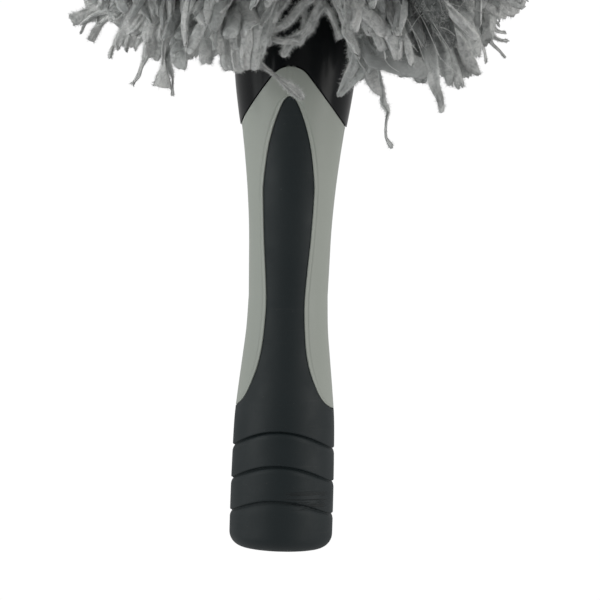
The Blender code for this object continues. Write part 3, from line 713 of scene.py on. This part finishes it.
def make_band(index):
    """One band's strips, finer where the photograph shows them."""
    rng = np.random.default_rng(1700 + index)
    pieces, count, stations, columns, fibres = band_detail[min(index, len(band_detail) - 1)]
    low = plume_base + index * plume_pitch
    high = low + plume_pitch
    for suffix in ("", "_outer", "_under")[:pieces]:
        lines = strip_lines(rng, count, low + 1 * mm, high - 1.5 * mm)
        widths = rng.triangular(*strip_widths, count) * mm
        widths[: count // wide_one_in] *= wide_factor
        kinds = rng.choice(len(kind_shares), count, p=kind_shares)
        half = width_profiles(kinds, widths, crowded(stations))
        teeth = np.where(kinds == 0, rng.uniform(0.01, 0.03, count), 0.006)
        roundness = np.where(kinds == 0, 0.4, 0.75)
        strips = Strips(rng, lines, half, teeth, roundness, columns, thick=1.2 * mm)
        bundle = Bundle()
        # Random tone, plus painted shade on the tips that lie in the hollow
        bundle.take_strips(strips, rng.uniform(-0.8, 1.0, count) + hollow_painted_shade * hollow_shade_share(lines))
        bundle.take(*fuzz_mesh(rng, strips, fibres, fuzz_reach, fuzz_width, fuzz_first), tones=0.7)
        if not suffix:
            bundle.take(*sleeve(low, high - 0.3 * mm), tones=-0.6)
        bundle.piece(f"fringe_{index + 1}{suffix}", f"strip_band_{index + 1}")


def smooth_path(points, steps):
    """Smooth open path through points, with even turns at the points."""
    p = np.array(points, float)
    p = np.concatenate([[2 * p[0] - p[1]], p, [2 * p[-1] - p[-2]]])
    t = np.linspace(0, 1, steps, endpoint=False)[:, None]
    out = []
    for a, b, c, d in zip(p, p[1:], p[2:], p[3:]):
        square = (2 * a - 5 * b + 4 * c - d) * t ** 2
        out.append(0.5 * (2 * b + (c - a) * t + square + (3 * b - a - 3 * c + d) * t ** 3))
    out.append(p[-2:-1])
    return np.concatenate(out)


# Ends of strips: how ragged and how round they are
soft, torn, cut = (0.004, 0.75), (0.012, 0.45), (0.005, 0.05)

# Strips seen in the photograph: height of the root in mm, tone, which carries painted light where high and
# painted shade below 0, how much painted shade darkens the upper part, end, and places as pixel x, pixel y,
# mm forward and width in mm
seen_strips = [
    (236, 1.2, 0, cut, [(130, -10, 10, 6), (105, -6, 8, 6), (83, -1, 6, 4.6)]),
    (232, 1.2, 0, cut, [(128, 3, 12, 6), (113, 8, 10, 6), (98, 11, 8, 5.8), (84, 15, 7, 5.2),
     (71, 19, 6, 4.2)]),
    (231, 0.8, 0, torn, [(126, 5, 13, 4), (108, 10.5, 11, 2.2), (94, 15, 9, 1.8), (82, 22.5, 8, 1)]),
    (236, 0.8, 0, soft, [(107, 15, 10, 1.6), (97, 18, 9, 1.2), (88, 22, 8, 1), (84, 28, 7, 0.9),
     (80, 34, 6, 0.5)]),
    (228, 1.5, 0, cut, [(128, 10, 14, 2.6), (113, 15.5, 12, 1.8), (102, 22, 10, 1.6), (95.5, 30, 9, 2.8),
     (90.5, 41, 8, 3.6)]),
    (222, 1.4, 0, torn, [(152, -2, 26, 8), (141, 16, 24, 9.6), (132, 32, 22, 9.6), (131, 46, 20, 8.6)]),
    (221, 1.3, 0, soft, [(142, 12, 25, 3.6), (128, 30, 23, 3.8), (119, 43, 22, 3), (117.5, 51, 21, 0.8)]),
    (221, 1.2, 0, soft, [(146, 16, 25, 4), (132, 32, 23, 3.8), (127, 43, 22, 2.6), (126.5, 51, 21, 0.8)]),
    (221, 1.3, 0, soft, [(150, 20, 25, 4), (140, 34, 23, 3.6), (135, 43, 22, 2.6), (134.5, 51.5, 21, 0.8)]),
    (222, 1.2, 0, cut, [(126, 30, 20, 2.2), (117, 43, 18, 1.4), (113.5, 47, 17, 1), (111.5, 52, 17, 1.5),
     (110, 59, 16, 1.2)]),
    (216, 1.2, 0, cut, [(154, 20, 30, 5.5), (149.5, 44, 29, 4.8), (145, 58, 28, 2.2), (142, 65, 28, 1.4),
     (140, 71, 28, 1.2), (138, 77, 28, 1.6), (134, 81.5, 28, 0.8), (131, 85, 28, 1.7)]),
    (214, 1.3, 0.1, torn, [(160, 20, 32, 5.5), (157, 42, 31, 5.8), (155, 61, 30, 4.6)]),
    (212, 1.5, 0.2, cut, [(168, 20, 36, 4.4), (166, 42, 35, 2.4), (165, 58, 34, 1), (164.5, 68, 34, 2),
     (163, 78, 34, 4.6), (161, 88, 34, 6.6)]),
    (216, 0.6, 0.3, soft, [(164, 28, 34, 3), (166.5, 46, 33, 2), (169.5, 62, 33, 2.2), (172, 73, 33, 1.8),
     (172.8, 79, 33, 0.7), (172.6, 90, 33, 0.6), (173.4, 97, 33, 1.2)]),
    (212, 0.5, 0.4, soft, [(187, 20, 38, 5.5), (184, 46, 38, 6.2), (183, 69, 37, 6.4)]),
    (210, 0.6, 0.6, torn, [(208, 16, 41, 5), (206, 42, 41, 6), (205.5, 64, 40, 4.6)]),
    (209, 0.5, 0.4, soft, [(232, 16, 42, 5), (230, 46, 43, 5.6), (229.5, 71, 42, 5.4)]),
    (212, 0.9, 0, soft, [(228, -4, 44, 3.6), (234, 22, 46, 4.2), (238, 48, 46, 4.2), (240, 72, 45, 3.6)]),
    (214, 0.6, 0, soft, [(246, -8, 45, 3.6), (247, 20, 48, 4.2), (246, 46, 48, 4.2), (247, 71, 46, 3.8)]),
    (216, 0.2, 0, soft, [(266, -8, 46, 3.8), (260, 18, 48, 4.4), (256, 44, 47, 4.2), (254, 69, 46, 3.6)]),
    (214, -0.2, 0, soft, [(276, -6, 44, 3), (268, 20, 46, 3.6), (262, 40, 46, 3.8), (258, 62, 45, 3)]),
    (212, 0.9, 0, soft, [(196, -6, 46, 4.6), (202, 14, 48, 5), (214, 36, 48, 4.6), (222, 54, 46, 3.4)]),
    (212, 0.7, 0, soft, [(222, -8, 47, 4), (214, 14, 49, 4.6), (198, 34, 48, 4.4), (186, 54, 45, 3.2)]),
    (216, 1.6, 0, soft, [(246, 34, 44, 2), (254, 60, 43, 1.6), (264, 69, 42, 1), (274, 75.5, 42, 0.8),
     (282, 82, 41, 1.9), (291, 88.5, 40, 3), (299, 95, 39, 2.6), (304, 98.5, 39, 1)]),
    (216, 1.6, 0, soft, [(250, 40, 44, 2), (262, 64, 44, 1.4), (276, 76, 43, 1.2), (287, 84.5, 42, 2.8),
     (296, 92, 41, 3), (303, 98, 40, 1.8)]),
    (218, 1.1, 0, soft, [(318, -14, 42, 3), (300, 6, 44, 3.2), (286, 24, 44, 2.8), (272, 32, 43, 2.4),
     (264, 36, 42, 1.8)]),
    (216, 1.1, 0, soft, [(322, -8, 42, 2.8), (314, 16, 43, 2.8), (305, 33, 43, 3), (292, 41, 42, 3),
     (281, 56, 41, 2.2)]),
    (216, 1, 0, soft, [(304, 30, 42, 2), (292, 41, 43, 2.4), (280, 42, 43, 2.4), (268, 38, 42, 2)]),
    (216, 1, 0, soft, [(290, -10, 43, 2.6), (276, 14, 45, 2.8), (268, 34, 44, 2.4), (270, 46, 43, 1.8)]),
    (214, 0.9, 0, soft, [(316, -6, 42, 2.4), (328, 10, 43, 2.6), (336, 27, 43, 1.8), (341, 40, 42, 2.6)]),
    (216, 1.1, 0, soft, [(336, -8, 44, 3.8), (346, 12, 46, 5), (356, 32, 46, 4.6), (362, 44, 44, 3.2)]),
    (216, -0.3, 0, soft, [(372, 6, 46, 3.6), (366, 30, 47, 3), (358, 50, 47, 3.2), (350, 72, 46, 3.5),
     (337, 97, 45, 0.8)]),
    (215, -0.5, 0, soft, [(382, 10, 45, 3.2), (372, 36, 46, 2.8), (367, 60, 46, 3.8), (356, 79, 45, 3.4),
     (340, 96, 44, 0.7)]),
    (212, 1.4, 0.9, soft, [(356, 14, 42, 3), (364, 44, 41, 4), (370.5, 68, 40, 4.8), (374, 79, 40, 5.2),
     (379, 89, 39, 3.8), (384, 98, 38, 0.6)]),
    (220, 0.3, 0, soft, [(360, 18, 46, 1.6), (370, 46, 47, 1.2), (379, 69, 47, 1.2), (382, 80, 47, 0.9),
     (384.5, 92, 46, 1.1), (383, 101, 46, 2.4), (386, 106, 46, 2.6), (389, 111, 46, 1.5), (387, 120, 46, 0.8),
     (386, 134, 46, 0.6), (387.5, 141, 46, 0.9), (393, 148, 46, 2.4)]),
    (216, 0.5, 3.2, soft, [(420, 10, 50, 5), (427, 40, 50, 4.8), (431, 68, 49, 4.6), (433, 85, 48, 4),
     (437.5, 96, 48, 3), (440, 106, 47, 2.3), (441, 113, 47, 1.8)]),
    (212, 0.1, 0.5, cut, [(386, -6, 44, 6), (389, 30, 45, 6.6), (391, 54, 45, 6.8), (390, 71.5, 44, 6.6)]),
    (212, -0.6, 1.2, cut, [(403, -4, 44, 6.4), (405, 32, 45, 7), (407, 56, 45, 7.4), (408, 77, 44, 7)]),
    (214, -0.4, 1.3, soft, [(418, 0, 46, 6), (419, 36, 46, 6.4), (420, 60, 46, 6.4), (421, 83, 45, 5.4)]),
    (218, 1.1, 0, torn, [(368, 22, 50, 4), (380, 26, 53, 5.2), (390, 34, 54, 6), (396, 46, 54, 5.6),
     (397, 60, 53, 3.6)]),
    (214, -0.7, 0, soft, [(352, -6, 40, 4), (357, 26, 40, 5.5), (358, 54, 40, 6), (357, 80, 40, 5.2)]),
    # Two strips darkened nearly to black: painted shade in the hollow
    (220, -1.8, 0, torn, [(404, -4, 54, 7), (411, 12, 54, 8), (420, 30, 53, 7), (428, 48, 51, 4)]),
    (221, -1.8, 0, torn, [(418, -12, 59, 7), (431, 8, 58, 8), (443, 26, 54, 7), (452, 46, 50, 3)]),
    (218, 1.2, 0, soft, [(356, -12, 52, 4), (366, 8, 54, 4.8), (378, 22, 55, 5), (384, 36, 55, 4)]),
    (218, 0.9, 0.8, soft, [(398, 24, 53, 2.4), (406, 40, 54, 2.6), (410, 54, 54, 2.8), (412, 67, 53, 2.2)]),
    (216, 1, 0.4, soft, [(376, 30, 52, 2.6), (383, 50, 52, 2.8), (386, 68, 51, 2)]),
    (216, 1, 0.4, soft, [(392, 42, 52, 2.4), (398, 56, 52, 2.6), (400, 70, 51, 2)]),
    (216, -0.6, 0.4, soft, [(366, 46, 49, 5), (387, 60.5, 51, 7.6), (407, 67.5, 51, 7.8),
     (428, 75, 50, 6.6)]),
    (222, 0.2, 2.2, torn, [(430, 0, 44, 7), (442, 36, 43, 7), (452, 64, 42, 5.2), (461, 88, 41, 2.8)]),
    (221, -0.2, 1.9, torn, [(424, 4, 45, 5), (436, 34, 44, 5), (444, 60, 43, 5), (449, 85, 42, 3.8)]),
    (226, 1.3, 3.2, soft, [(442, 14, 46, 3.6), (457, 38, 45, 4), (466, 54, 44, 5), (473, 66, 43, 4.8),
     (479, 75, 42, 1.8)]),
    (224, 0.3, 1.8, torn, [(446, -4, 42, 6), (454, 28, 42, 6.4), (462, 54, 41, 6), (469, 77, 40, 4)]),
    (228, 0.4, 0, torn, [(456, 2, 40, 5), (466, 26, 39, 5.4), (473, 42, 38, 5), (477, 56, 37, 3.6)]),
    (230, 0.9, 0, soft, [(462, 16, 36, 4), (474, 36, 34, 3), (481, 46, 32, 1.3), (484, 54, 31, 1),
     (485, 63, 31, 1.4)]),
    (232, 0.7, 0, torn, [(462, -4, 30, 6), (476, 18, 28, 6.4), (485, 34, 26, 5.4), (487, 44, 25, 2.6)]),
    (236, 1, 0, soft, [(474, 10, 26, 4), (485, 32, 24, 2.6), (491, 45, 22, 0.8), (498, 51, 21, 0.6),
     (506, 57, 20, 1.1)]),
    (236, 1, 0, soft, [(466, 4, 28, 5), (482, 24, 26, 3.6), (495, 38, 25, 1.2), (503, 41, 24, 0.8),
     (509, 42, 23, 1.4)]),
    (236, 1, 0, soft, [(468, 0, 28, 5), (482, 16, 26, 4), (494, 29, 25, 1.2), (500, 32, 24, 0.8),
     (506, 33, 23, 1.5)]),
    (238, 0.9, 0, soft, [(470, -6, 24, 5), (482, 8, 22, 3.6), (491, 19, 20, 1.2), (496, 21, 20, 0.9),
     (499, 26, 19, 0.8)]),
    (236, 0.7, 0, torn, [(468, -14, 26, 6), (480, 4, 24, 6.4), (488, 20, 22, 5.4), (490, 34, 21, 3)]),
    (242, 1.5, 0, cut, [(470, -20, 36, 6), (488, -8, 34, 7), (503, 2, 31, 7), (518, 9, 27, 6.2)]),
    (240, 1.2, 0, cut, [(466, -8, 36, 6), (482, -2, 34, 6.4), (495, 8, 31, 5.6), (507, 14, 28, 3.4)]),
    (226, 1.2, 0, soft, [(434, -10, 56, 1.8), (449, 8, 56, 2.8), (464, 25, 55, 3.4), (478, 41, 53, 2.8)]),
]

# Single long fibres with a painted highlight, as pixel x, pixel y and mm forward
loose_fibres = [
    [(399, 9, 55), (410, 23, 56), (418, 38, 56), (422, 48, 55)],
    [(412, 16, 56), (420, 7, 57), (429, 1, 56)],
    [(432, 31, 55), (437, 34, 56), (441, 41, 55)],
    [(440, 27, 56), (448, 30, 57), (455, 36, 56)],
    [(458, 34, 57), (463, 38, 58), (467, 46, 57)],
    [(452, 4, 57), (460, 6, 58), (465, 0, 57)],
    [(384, 58, 56), (390, 66, 57), (399, 72, 56)],
    [(470, 8, 52), (482, 12, 50), (492, 12, 48)],
    [(150, 44, 34), (158, 30, 38), (168, 22, 42)],
    [(142, 38, 30), (152, 28, 34), (160, 20, 38)],
    [(402, 8, 58), (412, 28, 58), (419, 46, 57), (424, 60, 56)],
    [(414, 6, 58), (424, 22, 58), (434, 44, 57), (441, 60, 55)],
    [(428, 14, 58), (440, 34, 57), (452, 52, 55)],
    [(410, 30, 58), (420, 16, 58), (434, 8, 58), (446, 6, 57)],
    [(436, 52, 55), (446, 64, 53), (456, 72, 50)],
    [(404, 26, 58), (409, 40, 58), (418, 52, 57)],
]


def seen_line(root_height, seen):
    """Centre line of a seen strip from the sleeve through its places, and the shares of its knots."""
    p = np.array([from_view(x, y, forward * mm) for x, y, forward, _ in seen])
    azimuth = math.atan2(p[0][1], p[0][0])
    root = at(np.array(root_radius), np.array(azimuth), np.array(root_height * mm))
    middle = (root + p[0]) / 2
    middle[2] = max(root[2], p[0][2]) + 6 * mm
    steps = 12
    path = smooth_path([root, middle, *p], steps)
    gone = np.concatenate([[0], np.cumsum(np.linalg.norm(np.diff(path, axis=0), axis=1))])
    s = np.linspace(0, gone[-1], samples)
    line = np.stack([np.interp(s, gone, path[:, k]) for k in range(3)], 1)
    knots = gone[[0, *range(2 * steps, len(path), steps)]] / gone[-1]
    return line, knots


def make_seen_strips(name, chosen, seed, fibres=140000):
    """The strips at the front as the photograph shows them."""
    rng = np.random.default_rng(seed)
    s = crowded(54)
    lines, half = [], []
    for root_height, *_, seen in chosen:
        line, knots = seen_line(root_height, seen)
        lines.append(line)
        half.append(np.interp(s, knots, [2.5, *(width for *_, width in seen)]) * mm / 2)
    lines, half = np.array(lines), np.array(half)
    places = np.linspace(0, 1, samples)
    wander = soft_wander(rng, len(lines), 14, places) * 0.45 * mm
    lines = lines + wander * smooth_step(0.2, 0.6, places)[None, :, None]
    teeth, roundness = np.array([end for *_, end, _ in chosen]).T
    strips = Strips(rng, lines, half, teeth, roundness, columns=7, thick=1.3 * mm, crumple=0.9,
                    facing=view_back, twist=0.4)
    # Painted shade on the upper part of some strips
    upper_painted_shade = np.array([upper_painted_shade for _, _, upper_painted_shade, _, _ in chosen])
    strips.painted_light_and_tone = strips.painted_light_and_tone - (upper_painted_shade[:, None] * (1 - smooth_step(0.6, 1, s)))[..., None]
    bundle = Bundle()
    bundle.take_strips(strips, [tone for _, tone, *_ in chosen])
    per_strip = fibres // len(chosen)
    fuzz = fuzz_mesh(rng, strips, per_strip, reach=(0.4 * mm, 1.9 * mm), width=0.1 * mm, first=0.3)
    bundle.take(*fuzz, tones=0.8)
    bundle.piece(name, "strip_band_1")


def make_loose_fibres(radius=0.09 * mm):
    """Long single fibres that lie over the front strips."""
    bundle = Bundle()
    for points in loose_fibres:
        path = smooth_path([from_view(x, y, forward * mm) for x, y, forward in points], 10)
        along = unit(np.gradient(path, axis=0))
        side = unit(np.cross(along, view_back)) * radius
        out = unit(np.cross(side, along)) * radius
        rings = np.stack([path + side, path + out, path - side], 1)
        last = 3 * len(path) - 1
        faces = tube_faces(len(path), 3)[:-3] + [(2, 1, 0), (last - 2, last - 1, last)]
        # Tone 1.3 paints them light: a painted highlight
        bundle.take(rings.reshape(-1, 3), faces, tones=1.3)
    bundle.piece("loose_fibres", "strip_band_1")


for index in range(bands):
    make_band(index)
on_left = [strip for strip in seen_strips if strip[-1][-1][0] < view_middle]
on_right = [strip for strip in seen_strips if strip[-1][-1][0] >= view_middle]
make_seen_strips("fringe_front_left", on_left, seed=41)
make_seen_strips("fringe_front_right", on_right, seed=42)
make_loose_fibres()


# Handle: outer shapes, as in the CAD model
butt_radius = 18.5 * mm
butt_edge_radius = 5.3 * mm
waist_radius = 14.2 * mm
waist_height = 90.2 * mm
shoulder_radius = 18.4 * mm
shoulder_height = 150.2 * mm
arch_tip = 169.7 * mm
arch_tip_radius = 8 * mm
arch_flank = math.radians(51.3)
arch_reach = 24 * mm
petal_foot = 50.2 * mm
petal_tip = 159.4 * mm
petal_half_width = 9 * mm
petal_recess = 0.5 * mm
petal_gap = 0.25 * mm
lip_section = np.array([  # the fine line beside the petals: places away from them, and depths
    (0.7, 0.95, 1.15, 1.4, 1.75),
    (0, 0.12, 0.2, 0.1, 0),
]) * mm
rim_height = 197.2 * mm
rim_radius = 22.8 * mm
bell_foot = 170.6 * mm
collar_step = 0.5 * mm
arch_seam = 0.45 * mm
cup_floor, cup_under = 176.2 * mm, 173 * mm
cup_radius, cup_under_radius = 20.6 * mm, 20.2 * mm
socket_bore, socket_radius = 8.6 * mm, 11.2 * mm
socket_floor, socket_foot = 142.7 * mm, 140.7 * mm
keyway_foot, keyway_radius, keyway_half_width = 156.9 * mm, 9.5 * mm, 1.5 * mm
groove_heights = [12.5 * mm, 24.1 * mm, 35.9 * mm]
groove_rises = [5.4 * mm, 6.0 * mm, 6.4 * mm]
groove_section = np.array([  # places up from the groove's height, and depths
    (-2.0, -1.75, -1.4, -1.05, -0.75, -0.5, -0.3, -0.1, 0.05, 0.17, 0.29, 0.4, 0.52, 0.7),
    (0, 0.05, 0.14, 0.28, 0.45, 0.67, 0.88, 1.06, 1.12, 1.0, 0.67, 0.3, 0.09, 0),
]) * mm
side_share = 0.35  # how much shallower the grooves are at the sides
sharp_angle = math.radians(50)


def smooth_table(stations, steps=40):
    """Places and values of a smooth curve through (place, value) stations."""
    places, values = (np.array(c, float) for c in zip(*stations))
    middle = np.arange(len(values))
    low, high = np.maximum(middle - 1, 0), np.minimum(middle + 1, len(values) - 1)
    slopes = (values[high] - values[low]) / (places[high] - places[low])
    t = np.linspace(0, 1, steps, endpoint=False)
    out = []
    for i in range(len(values) - 1):
        step = places[i + 1] - places[i]
        start = (1 + 2 * t) * (1 - t) ** 2 * values[i] + t * (1 - t) ** 2 * step * slopes[i]
        end = t * t * (3 - 2 * t) * values[i + 1] + t * t * (t - 1) * step * slopes[i + 1]
        out.append(np.stack([places[i] + step * t, start + end], 1))
    out.append([[places[-1], values[-1]]])
    return np.concatenate(out)


# How far the radius has gone from one size to the next, at shares of the height between them
butt_swell = smooth_table([(0, 1), (0.2, 1), (0.36, 0.955), (0.51, 0.87), (0.625, 0.655), (0.75, 0.37),
                           (0.87, 0.115), (1, 0)])
shoulder_swell = smooth_table([(0, 0), (0.15, 0.055), (0.4, 0.155), (0.63, 0.385), (0.82, 0.67), (1, 1)])
collar_swell = smooth_table([(0, 0), (0.13, 0.27), (0.35, 0.64), (0.6, 0.87), (1, 1)])


def collar_radius(z):
    foot = shoulder_radius + collar_step
    share = (z - shoulder_height) / (rim_height - shoulder_height)
    return foot + (rim_radius - foot) * np.interp(share, *collar_swell.T)


def grip_radius(z):
    low = waist_radius + (butt_radius - waist_radius) * np.interp(z / waist_height, *butt_swell.T)
    share = (z - waist_height) / (shoulder_height - waist_height)
    high = waist_radius + (shoulder_radius - waist_radius) * np.interp(share, *shoulder_swell.T)
    low_or_high = np.where(z > waist_height, high, low)
    return np.where(z > shoulder_height, collar_radius(z) - collar_step, low_or_high)


def skin_radius(z):
    return grip_radius(z) - petal_recess * np.clip((z - petal_foot - 3 * mm) / (10 * mm), 0, 1)


# Half outline of a petal from the foot up: shares of its half width and of its height
petal_shares = [
    (1.93, 0), (1.61, 0.024), (1.355, 0.059), (1.055, 0.125), (0.88, 0.19), (0.79, 0.266), (0.755, 0.34),
    (0.8, 0.417), (0.918, 0.544), (1, 0.678), (0.99, 0.737), (0.855, 0.83), (0.655, 0.9), (0.44, 0.95),
    (0.23, 0.986),
]


def petal_outline():
    """Right half of a petal's outline, smooth through its tip."""
    right = [(petal_half_width * w, petal_foot + (petal_tip - petal_foot) * h) for w, h in petal_shares]
    over_tip = [(0, petal_tip)] + [(-x, z) for x, z in right[:-3:-1]]
    steps = 8
    return smooth_path(right + over_tip, steps)[:-2 * steps]


def arch_outline():
    """Right half of the grey arch under the collar: a straight flank, then an arc over the top."""
    turn = np.linspace(math.pi / 2 - arch_flank, math.pi / 2, 15)
    arc = np.stack([arch_tip_radius * np.cos(turn), arch_tip - arch_tip_radius * (1 - np.sin(turn))], 1)
    x = np.linspace(arch_reach, arc[0, 0], 14)[:-1]
    z = arc[0, 1] - (x - arc[0, 0]) * math.tan(arch_flank)
    return np.concatenate([np.stack([x, z], 1), arc])


petal_line = petal_outline()
arch_line = arch_outline()


def moved_out(line, distance):
    """A rising outline moved away from what it encloses."""
    along = unit(np.gradient(line, axis=0))
    return line + np.stack([along[:, 1], -along[:, 0]], 1) * distance


def outline_angle(line, z, radius):
    """Angle from the front at which an outline crosses the surface at each height, and 0 above it."""
    x = np.interp(z, line[:, 1], line[:, 0])
    angle = np.arcsin(np.clip(x / radius, 0, 1))
    return np.where(z >= line[-1, 1], 0, np.where(z < line[0, 1], math.pi / 2, angle))


def heights_from(low, *heights):
    """Heights in order and without repeats, from a lowest one up."""
    z = np.unique(np.round(np.concatenate(heights), 7))
    return z[z >= low]


def sheet_piece(grids, name, material, wall, bevel, steps=3):
    """Solid skin from grids of points (rows, columns, 3), welded along shared lines."""
    work = bmesh.new()
    for grid in grids:
        rows, columns = grid.shape[:2]
        points = [[work.verts.new(p) for p in row] for row in grid.tolist()]
        for i in range(rows - 1):
            for j in range(columns - 1):
                work.faces.new((points[i][j], points[i][j + 1], points[i + 1][j + 1], points[i + 1][j]))
    bmesh.ops.remove_doubles(work, verts=work.verts, dist=0.004 * mm)
    bmesh.ops.dissolve_degenerate(work, edges=work.edges, dist=0.002 * mm)
    bmesh.ops.recalc_face_normals(work, faces=work.faces)
    mesh = bpy.data.meshes.new(name)
    work.to_mesh(mesh)
    work.free()
    mesh.materials.append(material)
    obj = add_object(name, mesh)
    skin = obj.modifiers.new("wall", "SOLIDIFY")
    skin.thickness = wall
    skin.offset = -1
    edge = obj.modifiers.new("edge", "BEVEL")
    edge.width = bevel
    edge.segments = steps
    edge.limit_method = "ANGLE"
    edge.angle_limit = sharp_angle
    shape = bpy.data.meshes.new_from_object(obj.evaluated_get(bpy.context.evaluated_depsgraph_get()))
    obj.modifiers.clear()
    obj.data = shape
    shape.shade_smooth()
    shape.set_sharp_from_angle(angle=sharp_angle)
    return obj


def on_surface(angle, z, radius):
    return np.stack([radius * np.sin(angle), -radius * np.cos(angle), np.broadcast_to(z, radius.shape)], -1)


def quarters(grid):
    """A quarter grid on the front right, mirrored and turned round the axis."""
    return [grid * sign for sign in ((1, 1, 1), (-1, 1, 1), (1, -1, 1), (-1, -1, 1))]


def make_grip_shell():
    """Grey body between the petals and the arch."""
    inner = moved_out(petal_line, petal_gap)
    z = heights_from(petal_foot, inner[:, 1], arch_line[:, 1], inner[-1:, 1] + 0.01 * mm)
    radius = grip_radius(z)
    first, last = outline_angle(inner, z, radius), outline_angle(arch_line, z, radius)
    share = np.concatenate([np.linspace(0, 0.16, 17), np.linspace(0.16, 1, 17)[1:]])[None]
    angle = first[:, None] + (last - first)[:, None] * share
    aside = (angle - first[:, None]) * radius[:, None]
    grid = on_surface(angle, z[:, None], radius[:, None] - np.interp(aside, *lip_section))
    obj = sheet_piece(quarters(grid), "grip_shell", finishes["handle_body"], wall=2 * mm, bevel=0.45 * mm)
    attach(obj, "handle")
    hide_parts("handle_body")


def butt_foot():
    """Radii and heights of the butt's flat foot and its rounded edge."""
    corner = np.linspace(0, math.pi / 2, 12)
    edge_radius = butt_radius - butt_edge_radius * (1 - np.sin(corner))
    edge_z = butt_edge_radius * (1 - np.cos(corner))
    flat = np.linspace(0.3 * mm, edge_radius[0], 5)[:-1]
    return np.concatenate([flat, edge_radius]), np.concatenate([np.zeros_like(flat), edge_z])


def make_grip_skin():
    """Soft butt with its grooves, and the petals that rise from it."""
    low_radius, low_z = butt_foot()
    side = np.linspace(butt_edge_radius, petal_foot, 60)[1:-1]
    lips = [height + place for height in groove_heights for place in groove_section[0]]
    side = np.unique(np.concatenate([side, lips, [petal_foot]]))
    z = np.concatenate([low_z, side, [petal_foot + 0.02 * mm], petal_line[1:, 1]])
    x = np.interp(z, petal_line[:, 1], petal_line[:, 0])
    half = np.where(z > petal_foot, np.arcsin(np.clip(x / skin_radius(z), 0, 1)), math.pi / 2)
    angle = half[:, None] * np.linspace(-1, 1, 65)[None]
    rise = np.interp(z, [0, butt_edge_radius, *groove_heights, petal_foot], [0, 0, *groove_rises, 0])
    lifted = z[:, None] + rise[:, None] * np.cos(angle) ** 2
    groove = sum(np.interp(z - height, *groove_section) for height in groove_heights)
    radius = skin_radius(lifted) - groove[:, None] * (1 - side_share * np.sin(angle) ** 2)
    radius[:len(low_radius)] = low_radius[:, None]
    front = on_surface(angle, lifted, radius)
    both = [front, front * (-1, -1, 1)]
    obj = sheet_piece(both, "grip_skin", finishes["soft_grip"], wall=1.2 * mm, bevel=0.2 * mm, steps=2)
    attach(obj, "handle")
    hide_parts("soft_grip")


def bell_skirt():
    """Glossy bell with its arched lower edge."""
    arch = moved_out(arch_line, arch_seam)
    z = heights_from(arch[0, 1], arch[:, 1], arch[-1:, 1] + 0.01 * mm, np.linspace(bell_foot, rim_height, 30))
    radius = collar_radius(z)
    first = outline_angle(arch, z, radius)
    share = np.linspace(0, 1, 28)[None]
    angle = first[:, None] + (math.pi / 2 - first)[:, None] * share
    grid = on_surface(angle, z[:, None], np.broadcast_to(radius[:, None], angle.shape))
    grid = grid[first < math.pi / 2 - 1e-6]
    return sheet_piece(quarters(grid), "bell_collar", finishes["collar"], wall=2.2 * mm, bevel=0.5 * mm)


def socket_tube():
    """Cup in the collar and the socket tube below it, with a keyway on either side."""
    turn = math.asin(keyway_half_width / socket_bore)
    bore = np.linspace(turn, math.pi - turn, 33)
    keyway = np.linspace(math.pi - turn + 1e-4, math.pi + turn - 1e-4, 5)
    turns = np.concatenate([bore, keyway, bore + math.pi, keyway + math.pi])
    in_keyway = np.abs(np.sin(turns)) < keyway_half_width / socket_bore - 1e-5
    keyed_bore = np.where(in_keyway, keyway_radius / np.abs(np.cos(turns)), socket_bore)
    axis = 0.02 * mm
    rings = [
        (axis, socket_floor), (socket_bore, socket_floor), (socket_bore, keyway_foot),
        (keyed_bore, keyway_foot), (keyed_bore, cup_floor), (cup_radius, cup_floor),
        (cup_under_radius, cup_under), (socket_radius, cup_under), (socket_radius, socket_foot),
        (axis, socket_foot),
    ]
    sine, cosine, even = np.sin(turns), np.cos(turns), np.ones_like(turns)
    points = [np.stack([-r * sine, r * cosine, z * even], -1) for r, z in rings]
    mesh = bpy.data.meshes.new("socket")
    mesh.from_pydata(np.concatenate(points).tolist(), [], tube_faces(len(rings), len(turns)))
    mesh.materials.append(finishes["collar"])
    mesh.shade_smooth()
    mesh.set_sharp_from_angle(angle=math.radians(30))
    return add_object("collar_socket", mesh)


def make_collar():
    for obj in (bell_skirt(), socket_tube()):
        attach(obj, "handle")
        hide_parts("collar")


make_grip_shell()
make_grip_skin()
make_collar()
